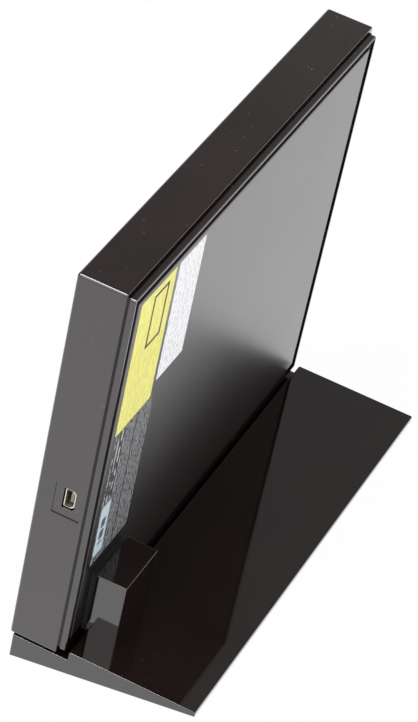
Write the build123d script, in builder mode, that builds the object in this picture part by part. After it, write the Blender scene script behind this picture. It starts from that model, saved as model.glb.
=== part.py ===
from build123d import *
import os
from math import cos, radians, sin, tan

# An external optical disc drive that stands on its long side edge in a wedge stand.
# The drive is drawn lying flat, cover up: X across it, Y from its rear face to its tray front,
# Z from its underside to its cover. Its pose then stands it up in the stand.
# The stand is drawn in the seat's frame: X across the seat, Y from the rear, Z square to the seat.

# Drive housing
drive_width = 155.0
drive_depth = 191.0
shell_height = 17.6
seam_gap = 0.8
rim_height = 2.0
housing_wall = 1.8
cover_wall = 1.8
corner_radius = 1.2
cover_edge_radius = 0.9
seam_edge_radius = 0.4

# Lower housing and the panel set in its rim
rim_side_inset = 1.5
rim_rear_inset = 0.9
rim_front_inset = 2.4
rim_width = 0.8
rim_edge = 0.3
panel_gap = 1.0
panel_recess = 0.65
panel_thickness = 0.5
panel_bevel_width = 0.6
panel_bevel_height = 0.2
spigot_wall = 1.4
spigot_clearance = 0.15
spigot_height = 2.4

# Housing screws, with bosses at the four corners
boss_radius = 3.0
boss_edge_distance = 7.0
screw_radius = 1.0
screw_clearance = 0.1
screw_head_radius = 2.0
screw_head_height = 1.0
housing_head_height = 0.8
screw_length = 9.0
thread_play = 0.02
boss_web = 1.2
pad_radius = 3.0
pad_height = 2.0

# Stand
stand_lean = 9.55
stand_length = 187.8
seat_left = 1.3
seat_width = 21.0
step_height = 3.8
pad_proud = 0.5
stand_reach = 70.0
stand_edge = 2.0
stand_wall = 2.2
stand_edge_radius = 0.3
step_edge_radius = 0.45
cavity_reach = 50.0
base_plate_thickness = 1.6
base_plate_gap = 0.15
plate_boss_radius = 2.6
plate_boss_top = 6.7
plate_screw_length = 4.5
foot_radius = 4.0
foot_thickness = 1.2
foot_proud = 0.4
foot_inset = 10.0
foot_gap = 0.1
seat_pad_width = 12.0
seat_pad_length = 20.0
seat_pad_inset = 14.0

# Retainer post beside the drive, with a soft pad on its drive side
post_near = 10.6
post_depth = 23.4
post_width = 11.5
post_height = 27.8
post_wall = 2.0
post_edge = 0.3
post_pad_thickness = 2.0
post_pad_margin = 1.2
post_screw_radius = 1.25
post_screw_length = 8.0
post_boss_radius = 2.8

# Mini-USB socket
usb_from_side = 66.65
usb_from_cover = 11.7
usb_width = 7.7
usb_height = 3.9
usb_length = 9.2
usb_recess = 1.0
usb_sheet = 0.35
usb_chamfer = 1.1
usb_gap = 0.35
usb_tongue_height = 1.2
usb_tongue_gap = 0.45
usb_tongue_inset = 1.2
usb_pocket_width = 13.0
usb_pocket_height = 10.2
usb_pocket_depth = 0.4
usb_pocket_offset = 1.1
usb_pocket_lift = 0.3
usb_contacts = 5
usb_contact_pitch = 0.8
usb_contact_width = 0.4
usb_contact_height = 0.1

# Bridge board behind the slim drive module
board_thickness = 1.2
board_near = 4.0
board_side_from = -60.0
board_side_to = 40.0
board_to_module = 9.0
standoff_radius = 2.8
board_screw_length = 4.0
board_hole_inset = 5.0
board_chip_sizes = [
    (-30.0, 0.57, 10.0, 10.0, 1.2),
    (-46.0, 0.4, 5.0, 6.0, 1.0),
    (6.0, 0.57, 7.0, 7.0, 1.0),
    (22.0, 0.35, 5.0, 5.0, 2.2),
    (22.0, 0.61, 5.0, 5.0, 2.2),
    (-14.0, 0.7, 3.2, 2.5, 0.8),
]
board_capacitors = [(32.0, 0.48), (32.0, 0.7)]
capacitor_radius = 2.2
capacitor_height = 5.4
sata_from = -50.0
sata_to = -17.0
sata_height = 4.2
sata_plug_length = 9.0
sata_socket_length = 6.5
sata_blade = 1.0
sata_blade_margin = 2.0
sata_blade_reach = 4.0
sata_play = 0.1
sata_window = 0.8
module_board_from = -58.0
module_board_to = 14.0
module_board_gap = 0.5
module_board_depth = 15.0
module_board_thickness = 0.8
cable_width = 16.0
cable_thickness = 0.15
cable_lift = 0.1
cable_bend = 0.3
cable_lower_run = 74.0
cable_upper_run = 67.0
cable_clamp = 1.0
cable_clamp_depth = 4.0

# Slim drive module: chassis, cover, guides and rails
module_width = 128.0
module_height = 12.7
module_length = 127.0
sheet = 0.5
bezel_thickness = 4.7
bezel_gap = 0.3
bezel_side_gap = 0.4
bezel_wall = 1.5
bezel_corner_radius = 1.0
bezel_edge = 0.5
bezel_rib = 1.0
bezel_rib_places = [-54.0, -8.0, 8.0, 34.0, 54.0]
cover_flange = 4.0
cover_relief_radius = 58.0
cover_relief_width = 5.0
cover_relief_height = 0.3
lug_thickness = 2.2
lug_length = 9.0
chassis_slot_places = [(-34.0, -33.8), (34.0, -33.8), (34.0, 26.2)]
chassis_slot_length = 24.0
chassis_slot_width = 5.0
lug_gap = 0.1
lug_inset = 16.0
lug_height = 9.0
lug_screw_level = 3.0
module_screw_radius = 1.0
guide_thickness = 1.6
guide_low = 1.35
guide_height = 5.4
guide_length = 122.0
guide_front = 2.0
guide_groove = 1.0
rail_width = 2.1
rail_height = 3.0
rail_length = 118.0
rail_front = 4.0
rail_clearance = 0.1
rail_low = 2.65
rail_slot_length = 34.0
rail_slot_height = 1.2
rail_to_tray_gap = 0.2

# Disc tray
tray_top_gap = 2.05
tray_rim_height = 1.9
tray_deck = 1.2
tray_side_gap = 0.9
disc_recess_radius = 60.6
disc_ledge_width = 2.6
disc_ledge_height = 0.4
disc_front_margin = 62.5
tray_rear_margin = 62.0
tray_skirt_gap = 2.1
tray_skirt = 1.9
tray_front_wall = 2.0
tray_bottom = 1.3
tray_skirt_length = 106.0
hub_window_radius = 17.2
lens_window_width = 24.0
lens_window_end = 64.5
lens_window_radius = 4.0
tray_boss_inset = 2.6
tray_boss_radius = 2.2
tray_corner_radius = 5.0
shield_sheet = 0.4
shield_edge_gap = 0.1
shield_hole_play = 0.2

# Traverse in the tray: it runs from the disc centre to a front corner
traverse_angle = 45.0
traverse_low = 1.8
traverse_floor = 0.8
traverse_rod_side = 23.0
traverse_screw_side = 25.0
traverse_rear = 20.0
traverse_end = 67.0
traverse_corner_sum = 83.0
traverse_window_start = 14.2
traverse_window_end = 64.2
traverse_window_gap = 0.8
traverse_corner_web = 3.2
rod_holder_start = 11.0
rod_holder_thickness = 2.6
main_rod_offset = 13.5
side_rod_offset = -12.5
rod_radius = 1.25
rod_level = 4.35
rod_holder_half = 2.1
rod_holder_cap = 0.9
traverse_web = 1.6
damper_radius = 2.4
damper_rear = 17.0
damper_front = 53.0
damper_rod_side = 19.0
damper_step = 1.4
damper_height = 1.4
mount_screw_radius = 0.8
mount_screw_head_radius = 1.5
mount_screw_head_height = 0.5

# Spindle motor and disc hub
motor_base_radius = 13.2
motor_base_height = 0.8
motor_bush_radius = 2.6
motor_thrust = 0.4
motor_bush_gap = 0.2
stator_poles = 9
stator_ring = 5.0
stator_arm = 8.6
stator_arm_width = 1.6
stator_tip = 1.3
stator_tip_width = 4.4
stator_height = 2.4
rotor_radius = 12.6
rotor_gap = 0.25
rotor_height = 4.35
rotor_wall = 1.0
rotor_edge = 0.4
spindle_radius = 1.5
spindle_clearance = 0.05
turntable_radius = 13.8
turntable_thickness = 0.9
hub_radius = 7.4
hub_height = 2.6
hub_bevel = 0.7
hub_ring_inner = 10.6
hub_ring_outer = 13.2
hub_ring_height = 0.3
jaw_count = 3
jaw_width = 3.0
jaw_clearance = 0.1
jaw_height = 0.75
jaw_inner_radius = 4.4
jaw_proud = 0.45
jaw_slot_inner = 3.7
jaw_seat = 1.6
jaw_lift = 0.05
jaw_bevel = 0.4

# Pickup sled, lens and lead screw
lens_start = 24.0
sled_inner = 9.0
sled_outer = 6.0
lens_travel = 33.0
sled_end_gap = 1.3
sled_half_width = 16.6
sled_low = 2.15
sled_height = 4.5
sled_taper = 3.0
sled_motor_clearance = 15.2
rod_clearance = 0.05
lens_holder_length = 9.0
lens_holder_width = 11.0
lens_holder_height = 3.6
lens_holder_play = 0.9
lens_holder_top = 7.6
lens_radius = 2.3
lens_proud = 0.5
lens_seat = 1.0
lens_lip = 0.3
laser_radius = 2.0
lens_pocket_floor = 1.0
sled_edge = 0.4
lead_screw_offset = -19.0
lead_screw_radius = 1.0
lead_screw_start = 2.0
lead_screw_end = 60.5
lead_screw_end_play = 0.1
nut_length = 7.0
nut_behind = 3.5
nut_width = 3.0
nut_height = 3.4
nut_arm = 3.0
nut_arm_height = 2.0
sled_motor_length = 16.0
sled_motor_width = 6.0
sled_motor_height = 4.2
sled_motor_corner = 1.0
sled_motor_gap = 0.4
screw_bearing = 2.0
lead_screw_neck = 0.6

# Tray board, eject switch, light pipe and latch
tray_board_thickness = 1.0
tray_board_side = 54.5
tray_board_inner = 20.0
tray_board_strip = 6.0
tray_board_rear_depth = 28.0
tray_board_front_depth = 20.0
tray_board_front_inner = 14.0
tray_board_margin = 1.0
tray_board_reach = 9.0
tray_board_reach_depth = 9.0
cable_connector_depth = 3.5
cable_connector_margin = 0.5
tray_rear_chips = [
    (-38.0, 14.7, 11.0, 11.0, 1.2),
    (-48.0, 6.7, 5.0, 5.0, 1.0),
    (-26.0, 6.7, 4.0, 3.0, 0.9),
    (-51.5, 48.7, 2.4, 5.0, 0.8),
]
tray_front_chips = [
    (-48.0, 11.7, 6.0, 5.0, 0.9),
    (-19.0, 10.7, 4.0, 5.0, 1.0),
]
button_from_centre = 38.0
button_width = 9.0
button_height = 2.8
button_level = 5.2
button_gap = 0.15
button_opening = 12.0
button_proud = 0.4
button_flange = 0.8
button_flange_thickness = 0.6
button_stem = 2.0
button_stem_width = 4.0
button_travel = 0.8
button_edge = 0.15
switch_width = 6.0
switch_depth = 3.0
switch_height = 3.4
switch_gap = 1.0
switch_play = 0.05
light_from_centre = 26.0
light_width = 3.0
light_height = 1.0
light_play = 0.05
light_reach = 10.5
light_leg = 1.5
led_height = 0.7
led_gap = 0.1
pinhole_from_centre = 18.0
pinhole_radius = 0.7
latch_pin_from_centre = 50.0
latch_pin_from_front = 10.0
latch_pin_radius = 1.2
latch_pin_height = 0.65
latch_pivot_side = 4.0
latch_pivot_behind = 16.0
latch_lever_thickness = 0.45
latch_lever_low = 0.75
latch_tail = 9.0
latch_stud_radius = 0.9
latch_boss_radius = 2.2
latch_stud_reach = 0.05
latch_window_side = 1.4
latch_window_inner = 3.2
latch_arm_width = 2.4
latch_nose_from_pin = 1.7
latch_nose_behind = 1.5
latch_tail_radius = 1.2
latch_rod_radius = 0.6
solenoid_length = 13.0
solenoid_width = 8.0
solenoid_height = 4.4
plunger_radius = 1.5
plunger_reach = 4.0
plunger_front = 1.2
plunger_hole_length = 1.4
plunger_hole_width = 1.8
plunger_bore = 6.5
plunger_play = 0.05
plunger_head_radius = 1.0
solenoid_inset = 5.0
solenoid_cheek = 1.0
solenoid_coil_inset = 0.6

os.makedirs("parts", exist_ok=True)

# Levels of the drive, from its underside up
shell_bottom = rim_height + seam_gap
drive_height = shell_bottom + shell_height
cover_inside = drive_height - cover_wall
module_bottom = shell_bottom + (shell_height - module_height) / 2
module_top = module_bottom + module_height
module_floor = module_bottom + sheet
shield_bottom = module_bottom + tray_bottom
shield_top = shield_bottom + shield_sheet
tray_top = module_top - sheet - tray_top_gap
disc_ledge = tray_top - tray_rim_height
deck_bottom = disc_ledge - tray_deck
traverse_bottom = module_bottom + traverse_low
traverse_top = traverse_bottom + traverse_floor
rod_height = module_bottom + rod_level
rail_bottom = module_bottom + rail_low
guide_bottom = module_bottom + guide_low
board_top = drive_height - usb_from_cover - usb_height / 2
board_bottom = board_top - board_thickness
spigot_top = rim_height + spigot_height
pad_top = rim_height + pad_height
panel_top = panel_recess + panel_thickness
tray_board_bottom = shield_top
tray_board_top = tray_board_bottom + tray_board_thickness
lever_bottom = module_bottom + latch_lever_low

# Places along the drive, from its rear face to its front
bezel_back = drive_depth - bezel_thickness
module_front = bezel_back - bezel_gap
module_rear = module_front - module_length
disc_y = bezel_back - disc_front_margin
tray_rear = disc_y - tray_rear_margin
tray_inner_front = bezel_back - tray_front_wall
shield_rear = bezel_back - tray_skirt_length
latch_pin_y = module_front - latch_pin_from_front
latch_pivot_y = latch_pin_y - latch_pivot_behind
latch_tail_y = latch_pivot_y - latch_tail
board_far = module_rear - board_to_module
lower_front = drive_depth - rim_front_inset

# Places across the drive
shell_inside = drive_width / 2 - housing_wall
lower_half = drive_width / 2 - rim_side_inset
module_half = module_width / 2
chassis_inside = module_half - sheet
guide_face = chassis_inside - guide_thickness
tray_half = chassis_inside - tray_side_gap
skirt_face = chassis_inside - tray_skirt_gap
skirt_inside = skirt_face - tray_skirt
rail_face = guide_face + guide_groove - rail_clearance
rail_inner = rail_face - rail_width
boss_x = drive_width / 2 - boss_edge_distance
usb_x = usb_from_side - drive_width / 2
latch_pin_x = -latch_pin_from_centre
latch_pivot_x = latch_pin_x + latch_pivot_side

# The drive stands on its edge in the seat, and the seat leans by stand_lean
lean = radians(stand_lean)
edge_bottom = step_height - pad_proud - stand_edge
seat_edge_low = edge_bottom - (stand_reach - seat_left) * tan(lean)
wedge_low = edge_bottom - stand_reach * tan(lean)
seat_origin_z = -wedge_low * cos(lean) + foot_proud
left_corner_x = seat_left * cos(lean) + seat_edge_low * sin(lean)
right_corner_x = stand_reach * cos(lean) + (edge_bottom + stand_edge) * sin(lean)
seat_origin_x = -(left_corner_x + right_corner_x) / 2
seat_origin_y = -(drive_depth + button_proud) / 2
seat_pose = Location((seat_origin_x, seat_origin_y, seat_origin_z), (0, stand_lean, 0))
drive_plane = Plane(
    origin=(drive_height, 0, drive_width / 2), x_dir=(0, 0, 1), z_dir=(-1, 0, 0)
)
drive_pose = seat_pose * drive_plane.location
traverse_pose = drive_pose * Location((0, disc_y, 0), (0, 0, traverse_angle))
rod_holder_end = lens_start + lens_travel + sled_outer + sled_end_gap


def across(x):
    """A plane square to the drive's width at x, with Y across the sketch and Z up it."""
    return Plane(origin=(x, 0, 0), x_dir=(0, 1, 0), z_dir=(1, 0, 0))


def along(y):
    """A plane square to the drive's depth at y, with X and Z across it; it faces the rear."""
    return Plane(origin=(0, y, 0), x_dir=(1, 0, 0), z_dir=(0, -1, 0))


def block(x, y, z):
    """A box between two limits on each axis, added to the piece being built."""
    with Locations((sum(x) / 2, sum(y) / 2, sum(z) / 2)):
        Box(abs(x[1] - x[0]), abs(y[1] - y[0]), abs(z[1] - z[0]))


def cut_block(x, y, z):
    """The same box, cut out of the piece being built."""
    with Locations((sum(x) / 2, sum(y) / 2, sum(z) / 2)):
        Box(abs(x[1] - x[0]), abs(y[1] - y[0]), abs(z[1] - z[0]), mode=Mode.SUBTRACT)


def rod(radius, low, high, mode=Mode.ADD):
    """An upright round rod between two levels at the active locations."""
    with Locations((0, 0, low)):
        Cylinder(radius, high - low, align=(Align.CENTER, Align.CENTER, Align.MIN), mode=mode)


def finish(piece, label, pose):
    """Puts a finished piece in its place on the object, names it and writes it."""
    piece.part = piece.part.moved(pose)
    piece.part.label = label
    export_step(piece.part, f"parts/{label}.step")


# Stand: a wedge whose seat and top are square to the drive, open below behind a base plate
seat_right = seat_left + seat_width
seat_level = -pad_proud
step_top = step_height - pad_proud
table = Plane(seat_pose.inverse())
plate_top = foot_proud + base_plate_thickness
stand_left_x = seat_origin_x + left_corner_x
stand_right_x = seat_origin_x + right_corner_x
stand_near_y = seat_origin_y
stand_far_y = stand_near_y + stand_length
foot_points = [
    (x, y)
    for x in (stand_left_x + foot_inset, stand_right_x - foot_inset)
    for y in (stand_near_y + foot_inset, stand_far_y - foot_inset)
]
plate_screw_points = [
    (x, y)
    for x in (stand_left_x + 2 * foot_inset, (stand_left_x + stand_right_x) / 2)
    for y in (stand_near_y + 2 * foot_inset, stand_far_y - 2 * foot_inset)
]
post_left = drive_height + post_pad_thickness
post_middle = post_left + post_width / 2
post_screw_points = [
    (post_middle, post_near + post_depth / 4),
    (post_middle, post_near + post_depth * 3 / 4),
]
cavity_roof = step_top - stand_wall

with BuildPart() as stand_wedge:
    with BuildSketch(along(stand_length)):
        with BuildLine():
            Polyline(
                (seat_left, seat_edge_low),
                (seat_left, seat_level),
                (seat_right, seat_level),
                (seat_right, step_top),
                (stand_reach, step_top),
                (stand_reach, edge_bottom),
                close=True,
            )
        stand_profile = make_face()
        fillet(stand_profile.vertices().group_by(Axis.Y)[-1], step_edge_radius)
    extrude(amount=stand_length)
    outline_edges = stand_wedge.faces().sort_by(Axis.Y)[0].edges()
    outline_edges += stand_wedge.faces().sort_by(Axis.Y)[-1].edges()
    fillet(outline_edges, stand_edge_radius)
    with BuildSketch(along(stand_length - stand_wall)):
        with BuildLine():
            Polyline(
                (seat_left + stand_wall, wedge_low),
                (seat_left + stand_wall, seat_level - stand_wall),
                (seat_right + stand_wall, seat_level - stand_wall),
                (seat_right + stand_wall, cavity_roof),
                (cavity_reach, cavity_roof),
                (cavity_reach, wedge_low),
                close=True,
            )
        make_face()
    extrude(amount=stand_length - 2 * stand_wall, mode=Mode.SUBTRACT)
    with BuildSketch(table.offset(plate_top)):
        with Locations(*plate_screw_points):
            Circle(plate_boss_radius)
    extrude(amount=plate_boss_top - plate_top)
    with BuildSketch(table.offset(plate_top)):
        with Locations(*plate_screw_points):
            Circle(screw_radius + thread_play)
    extrude(amount=plate_screw_length - base_plate_thickness, mode=Mode.SUBTRACT)
    with BuildSketch(table):
        with Locations(*foot_points):
            Circle(foot_radius + foot_gap)
    extrude(amount=foot_thickness, mode=Mode.SUBTRACT)
    with Locations(*[(x, y, 0) for x, y in post_screw_points]):
        rod(post_screw_radius + screw_clearance, cavity_roof, step_top, Mode.SUBTRACT)
finish(stand_wedge, "stand_wedge", seat_pose)


def below(v):
    """The height of the stand's underside, in the seat's frame, at a place across it."""
    return edge_bottom - (stand_reach - v) * tan(lean)


plate_left = seat_left + stand_wall + base_plate_gap
plate_right = cavity_reach - base_plate_gap
plate_rise = base_plate_thickness / cos(lean)
with BuildPart() as stand_base_plate:
    with BuildSketch(along(stand_length - stand_wall - base_plate_gap)):
        with BuildLine():
            Polyline(
                (plate_left, below(plate_left)),
                (plate_left, below(plate_left) + plate_rise),
                (plate_right, below(plate_right) + plate_rise),
                (plate_right, below(plate_right)),
                close=True,
            )
        make_face()
    extrude(amount=stand_length - 2 * (stand_wall + base_plate_gap))
    with BuildSketch(table):
        with Locations(*foot_points):
            Circle(foot_radius + foot_gap)
    extrude(amount=foot_thickness, mode=Mode.SUBTRACT)
    with BuildSketch(table):
        with Locations(*plate_screw_points):
            Circle(screw_head_radius + screw_clearance)
    extrude(amount=foot_proud + screw_head_height, mode=Mode.SUBTRACT)
    with BuildSketch(table):
        with Locations(*plate_screw_points):
            Circle(screw_radius + screw_clearance)
    extrude(amount=plate_top, mode=Mode.SUBTRACT)
finish(stand_base_plate, "stand_base_plate", seat_pose)

with BuildPart() as stand_plate_screws:
    with Locations(*[(x, y, foot_proud) for x, y in plate_screw_points]):
        rod(screw_head_radius, 0, screw_head_height)
        rod(screw_radius, screw_head_height, plate_screw_length)
finish(stand_plate_screws, "stand_plate_screws", Location())

with BuildPart() as stand_feet:
    with Locations(*[(x, y, 0) for x, y in foot_points]):
        rod(foot_radius, 0, foot_thickness)
    chamfer(stand_feet.faces().group_by(Axis.Z)[0].edges(), foot_proud / 2)
finish(stand_feet, "stand_feet", Location())

pad_middle = (seat_left + seat_right) / 2
with BuildPart() as seat_pads:
    for y in (seat_pad_inset, stand_length - seat_pad_inset - seat_pad_length):
        block(
            (pad_middle - seat_pad_width / 2, pad_middle + seat_pad_width / 2),
            (y, y + seat_pad_length),
            (seat_level, 0),
        )
finish(seat_pads, "seat_pads", seat_pose)

post_top = step_top + post_height
with BuildPart() as retainer_post:
    block((post_left, post_left + post_width), (post_near, post_near + post_depth), (step_top, post_top))
    fillet(retainer_post.edges().filter_by(Axis.Z), post_edge)
    fillet(retainer_post.faces().sort_by(Axis.Z)[-1].edges(), post_edge)
    cut_block(
        (post_left + post_wall, post_left + post_width - post_wall),
        (post_near + post_wall, post_near + post_depth - post_wall),
        (step_top, post_top - post_wall),
    )
    with Locations(*[(x, y, 0) for x, y in post_screw_points]):
        rod(post_boss_radius, step_top, post_top - post_wall)
        rod(post_screw_radius + thread_play, step_top, step_top + post_screw_length, Mode.SUBTRACT)
finish(retainer_post, "retainer_post", seat_pose)

with BuildPart() as post_pad:
    block(
        (drive_height, post_left),
        (post_near + post_pad_margin, post_near + post_depth - post_pad_margin),
        (step_top + post_pad_margin, post_top - post_pad_margin),
    )
finish(post_pad, "post_pad", seat_pose)

with BuildPart() as post_screws:
    with Locations(*[(x, y, cavity_roof) for x, y in post_screw_points]):
        rod(screw_head_radius + post_screw_radius - screw_radius, -screw_head_height, 0)
        rod(post_screw_radius, 0, stand_wall + post_screw_length - screw_head_height)
finish(post_screws, "post_screws", seat_pose)

# Upper housing: the cover face and the four side walls in one moulding
boss_points = [
    (x, y) for x in (-boss_x, boss_x) for y in (boss_edge_distance, drive_depth - boss_edge_distance)
]
usb_level = drive_height - usb_from_cover


def usb_outline(grow):
    """The socket's outline, with its two chamfered corners on the side away from the cover."""
    half = usb_width / 2 + grow
    high = usb_level + usb_height / 2 + grow
    low = usb_level - usb_height / 2 - grow
    return [
        (usb_x - half, high),
        (usb_x - half, low + usb_chamfer),
        (usb_x - half + usb_chamfer, low),
        (usb_x + half - usb_chamfer, low),
        (usb_x + half, low + usb_chamfer),
        (usb_x + half, high),
    ]


with BuildPart() as upper_housing:
    with BuildSketch(Plane.XY.offset(shell_bottom)):
        with Locations((0, drive_depth / 2)):
            RectangleRounded(drive_width, drive_depth, corner_radius)
    extrude(amount=shell_height)
    fillet(upper_housing.faces().sort_by(Axis.Z)[-1].edges(), cover_edge_radius)
    fillet(upper_housing.faces().sort_by(Axis.Z)[0].edges(), seam_edge_radius)
    cut_block(
        (-shell_inside, shell_inside),
        (housing_wall, drive_depth - housing_wall),
        (shell_bottom, cover_inside),
    )
    with BuildSketch(along(drive_depth)):
        with Locations((0, (module_bottom + module_top) / 2)):
            RectangleRounded(
                module_width + 2 * bezel_side_gap,
                module_height + 2 * bezel_side_gap,
                bezel_corner_radius,
            )
    extrude(amount=2 * housing_wall, mode=Mode.SUBTRACT)
    for x, y in boss_points:
        wall_x = shell_inside if x > 0 else -shell_inside
        web_levels = (spigot_top + spigot_clearance, cover_inside)
        block((x, wall_x), (y - boss_web / 2, y + boss_web / 2), web_levels)
    with Locations(*[(x, y, 0) for x, y in boss_points]):
        rod(boss_radius, pad_top, cover_inside)
        rod(screw_radius + thread_play, pad_top, rim_height + screw_length, Mode.SUBTRACT)
    pocket_x = usb_x - usb_pocket_offset
    cut_block(
        (pocket_x - usb_pocket_width / 2, pocket_x + usb_pocket_width / 2),
        (0, usb_pocket_depth),
        (
            usb_level + usb_pocket_lift - usb_pocket_height / 2,
            usb_level + usb_pocket_lift + usb_pocket_height / 2,
        ),
    )
    with BuildSketch(along(housing_wall)):
        Polygon(*usb_outline(usb_gap))
    extrude(amount=housing_wall, mode=Mode.SUBTRACT)
finish(upper_housing, "upper_housing", drive_pose)

# Lower housing: a shallow tray with a rim round the underside panel and a spigot in the seam
lug_places = [module_rear + lug_inset, module_front - lug_inset]
lug_inner = module_half + lug_gap
lug_outer = lug_inner + lug_thickness
lug_screw_z = module_bottom + lug_screw_level
board_hole_points = [
    (x, y)
    for x in (board_side_from + board_hole_inset, board_side_to - board_hole_inset)
    for y in (board_near + board_hole_inset, board_far - board_hole_inset)
]

with BuildPart() as lower_housing:
    with BuildSketch(Plane.XY):
        with Locations((0, (rim_rear_inset + lower_front) / 2)):
            RectangleRounded(2 * lower_half, lower_front - rim_rear_inset, corner_radius)
    extrude(amount=rim_height)
    chamfer(lower_housing.faces().sort_by(Axis.Z)[0].edges(), rim_edge)
    cut_block(
        (-lower_half + rim_width, lower_half - rim_width),
        (rim_rear_inset + rim_width, lower_front - rim_width),
        (0, panel_top),
    )
    spigot_half = shell_inside - spigot_clearance
    spigot_rear = housing_wall + spigot_clearance
    spigot_front = drive_depth - housing_wall - spigot_clearance
    block((-spigot_half, spigot_half), (spigot_rear, spigot_front), (rim_height, spigot_top))
    cut_block(
        (-spigot_half + spigot_wall, spigot_half - spigot_wall),
        (spigot_rear + spigot_wall, spigot_front - spigot_wall),
        (rim_height, spigot_top),
    )
    with Locations(*[(x, y, 0) for x, y in boss_points]):
        rod(pad_radius, rim_height, pad_top)
        rod(screw_head_radius + screw_clearance, panel_top, rim_height, Mode.SUBTRACT)
        rod(screw_radius + screw_clearance, rim_height, pad_top, Mode.SUBTRACT)
    with Locations(*[(x, y, 0) for x, y in board_hole_points]):
        rod(standoff_radius, rim_height, board_bottom)
        rod(screw_radius + thread_play, rim_height, board_bottom, Mode.SUBTRACT)
    for side in (-1, 1):
        for y in lug_places:
            block(
                (side * lug_inner, side * lug_outer),
                (y - lug_length / 2, y + lug_length / 2),
                (rim_height, rim_height + lug_height),
            )
            with BuildSketch(across(side * lug_inner)):
                with Locations((y, lug_screw_z)):
                    Circle(module_screw_radius + screw_clearance)
            extrude(amount=side * lug_thickness, mode=Mode.SUBTRACT)
    for x in (-module_half + pad_radius, module_half - pad_radius):
        for y in (module_rear + pad_radius, module_front - 2 * pad_radius):
            block((x - pad_radius / 2, x + pad_radius / 2), (y - pad_radius, y + pad_radius),
                  (rim_height, module_bottom))
finish(lower_housing, "lower_housing", drive_pose)

with BuildPart() as underside_panel:
    bevel_top = panel_recess + panel_bevel_height
    panel_half = lower_half - rim_width - panel_gap
    panel_rear = rim_rear_inset + rim_width + panel_gap
    panel_front = lower_front - rim_width - panel_gap
    with BuildSketch(Plane.XY.offset(panel_recess)):
        with Locations((0, (panel_rear + panel_front) / 2)):
            Rectangle(
                2 * (panel_half - panel_bevel_width),
                panel_front - panel_rear - 2 * panel_bevel_width,
            )
    with BuildSketch(Plane.XY.offset(bevel_top)):
        with Locations((0, (panel_rear + panel_front) / 2)):
            Rectangle(2 * panel_half, panel_front - panel_rear)
    loft()
    block((-panel_half, panel_half), (panel_rear, panel_front), (bevel_top, panel_top))
finish(underside_panel, "underside_panel", drive_pose)

with BuildPart() as housing_screws:
    with Locations(*[(x, y, 0) for x, y in boss_points]):
        rod(screw_head_radius, rim_height - housing_head_height, rim_height)
        rod(screw_radius, rim_height, rim_height + screw_length)
finish(housing_screws, "housing_screws", drive_pose)

# Mini-USB socket: a folded metal shell with a contact tongue, soldered to the bridge board
with BuildPart() as usb_shell:
    with BuildSketch(along(usb_recess + usb_length)):
        Polygon(*usb_outline(0))
    extrude(amount=usb_length)
    with BuildSketch(along(usb_recess + usb_length - usb_sheet)):
        Polygon(*usb_outline(-usb_sheet))
    extrude(amount=usb_length, mode=Mode.SUBTRACT)
finish(usb_shell, "usb_shell", drive_pose)

with BuildPart() as usb_tongue:
    tongue_low = usb_level - usb_height / 2 + usb_sheet + usb_tongue_gap
    tongue_half = usb_width / 2 - usb_chamfer - usb_sheet
    tongue_top = tongue_low + usb_tongue_height
    tongue_near = usb_recess + usb_tongue_inset
    tongue_far = usb_recess + usb_length - usb_sheet
    block((usb_x - tongue_half, usb_x + tongue_half), (tongue_near, tongue_far), (tongue_low, tongue_top))
    for i in range(usb_contacts):
        contact_x = usb_x + (i - (usb_contacts - 1) / 2) * usb_contact_pitch
        block(
            (contact_x - usb_contact_width / 2, contact_x + usb_contact_width / 2),
            (tongue_near + usb_contact_width, tongue_far),
            (tongue_top, tongue_top + usb_contact_height),
        )
finish(usb_tongue, "usb_tongue", drive_pose)

# Bridge board on four standoffs, with its chips and the plug for the slim drive module
with BuildPart() as bridge_board:
    block((board_side_from, board_side_to), (board_near, board_far), (board_bottom, board_top))
    fillet(bridge_board.edges().filter_by(Axis.Z), screw_radius)
    with Locations(*[(x, y, 0) for x, y in board_hole_points]):
        rod(screw_radius + screw_clearance, board_bottom, board_top, Mode.SUBTRACT)
finish(bridge_board, "bridge_board", drive_pose)

with BuildPart() as board_chips:
    for x, share, wide, deep, high in board_chip_sizes:
        y = board_near + share * (board_far - board_near)
        block((x - wide / 2, x + wide / 2), (y - deep / 2, y + deep / 2), (board_top, board_top + high))
    for x, share in board_capacitors:
        with Locations((x, board_near + share * (board_far - board_near), 0)):
            rod(capacitor_radius, board_top, board_top + capacitor_height)
finish(board_chips, "board_chips", drive_pose)

with BuildPart() as board_screws:
    with Locations(*[(x, y, 0) for x, y in board_hole_points]):
        rod(screw_head_radius, board_top, board_top + screw_head_height)
        rod(screw_radius, board_top + screw_head_height - board_screw_length, board_top)
finish(board_screws, "board_screws", drive_pose)

sata_low = board_top
sata_middle = sata_low + sata_height / 2
plug_far = module_rear - sata_play
with BuildPart() as sata_plug:
    block((sata_from, sata_to), (plug_far - sata_plug_length, plug_far),
          (sata_low, sata_low + sata_height))
    block(
        (sata_from + sata_blade_margin, sata_to - sata_blade_margin),
        (plug_far, plug_far + sata_blade_reach),
        (sata_middle - sata_blade / 2, sata_middle + sata_blade / 2),
    )
finish(sata_plug, "sata_plug", drive_pose)

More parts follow.
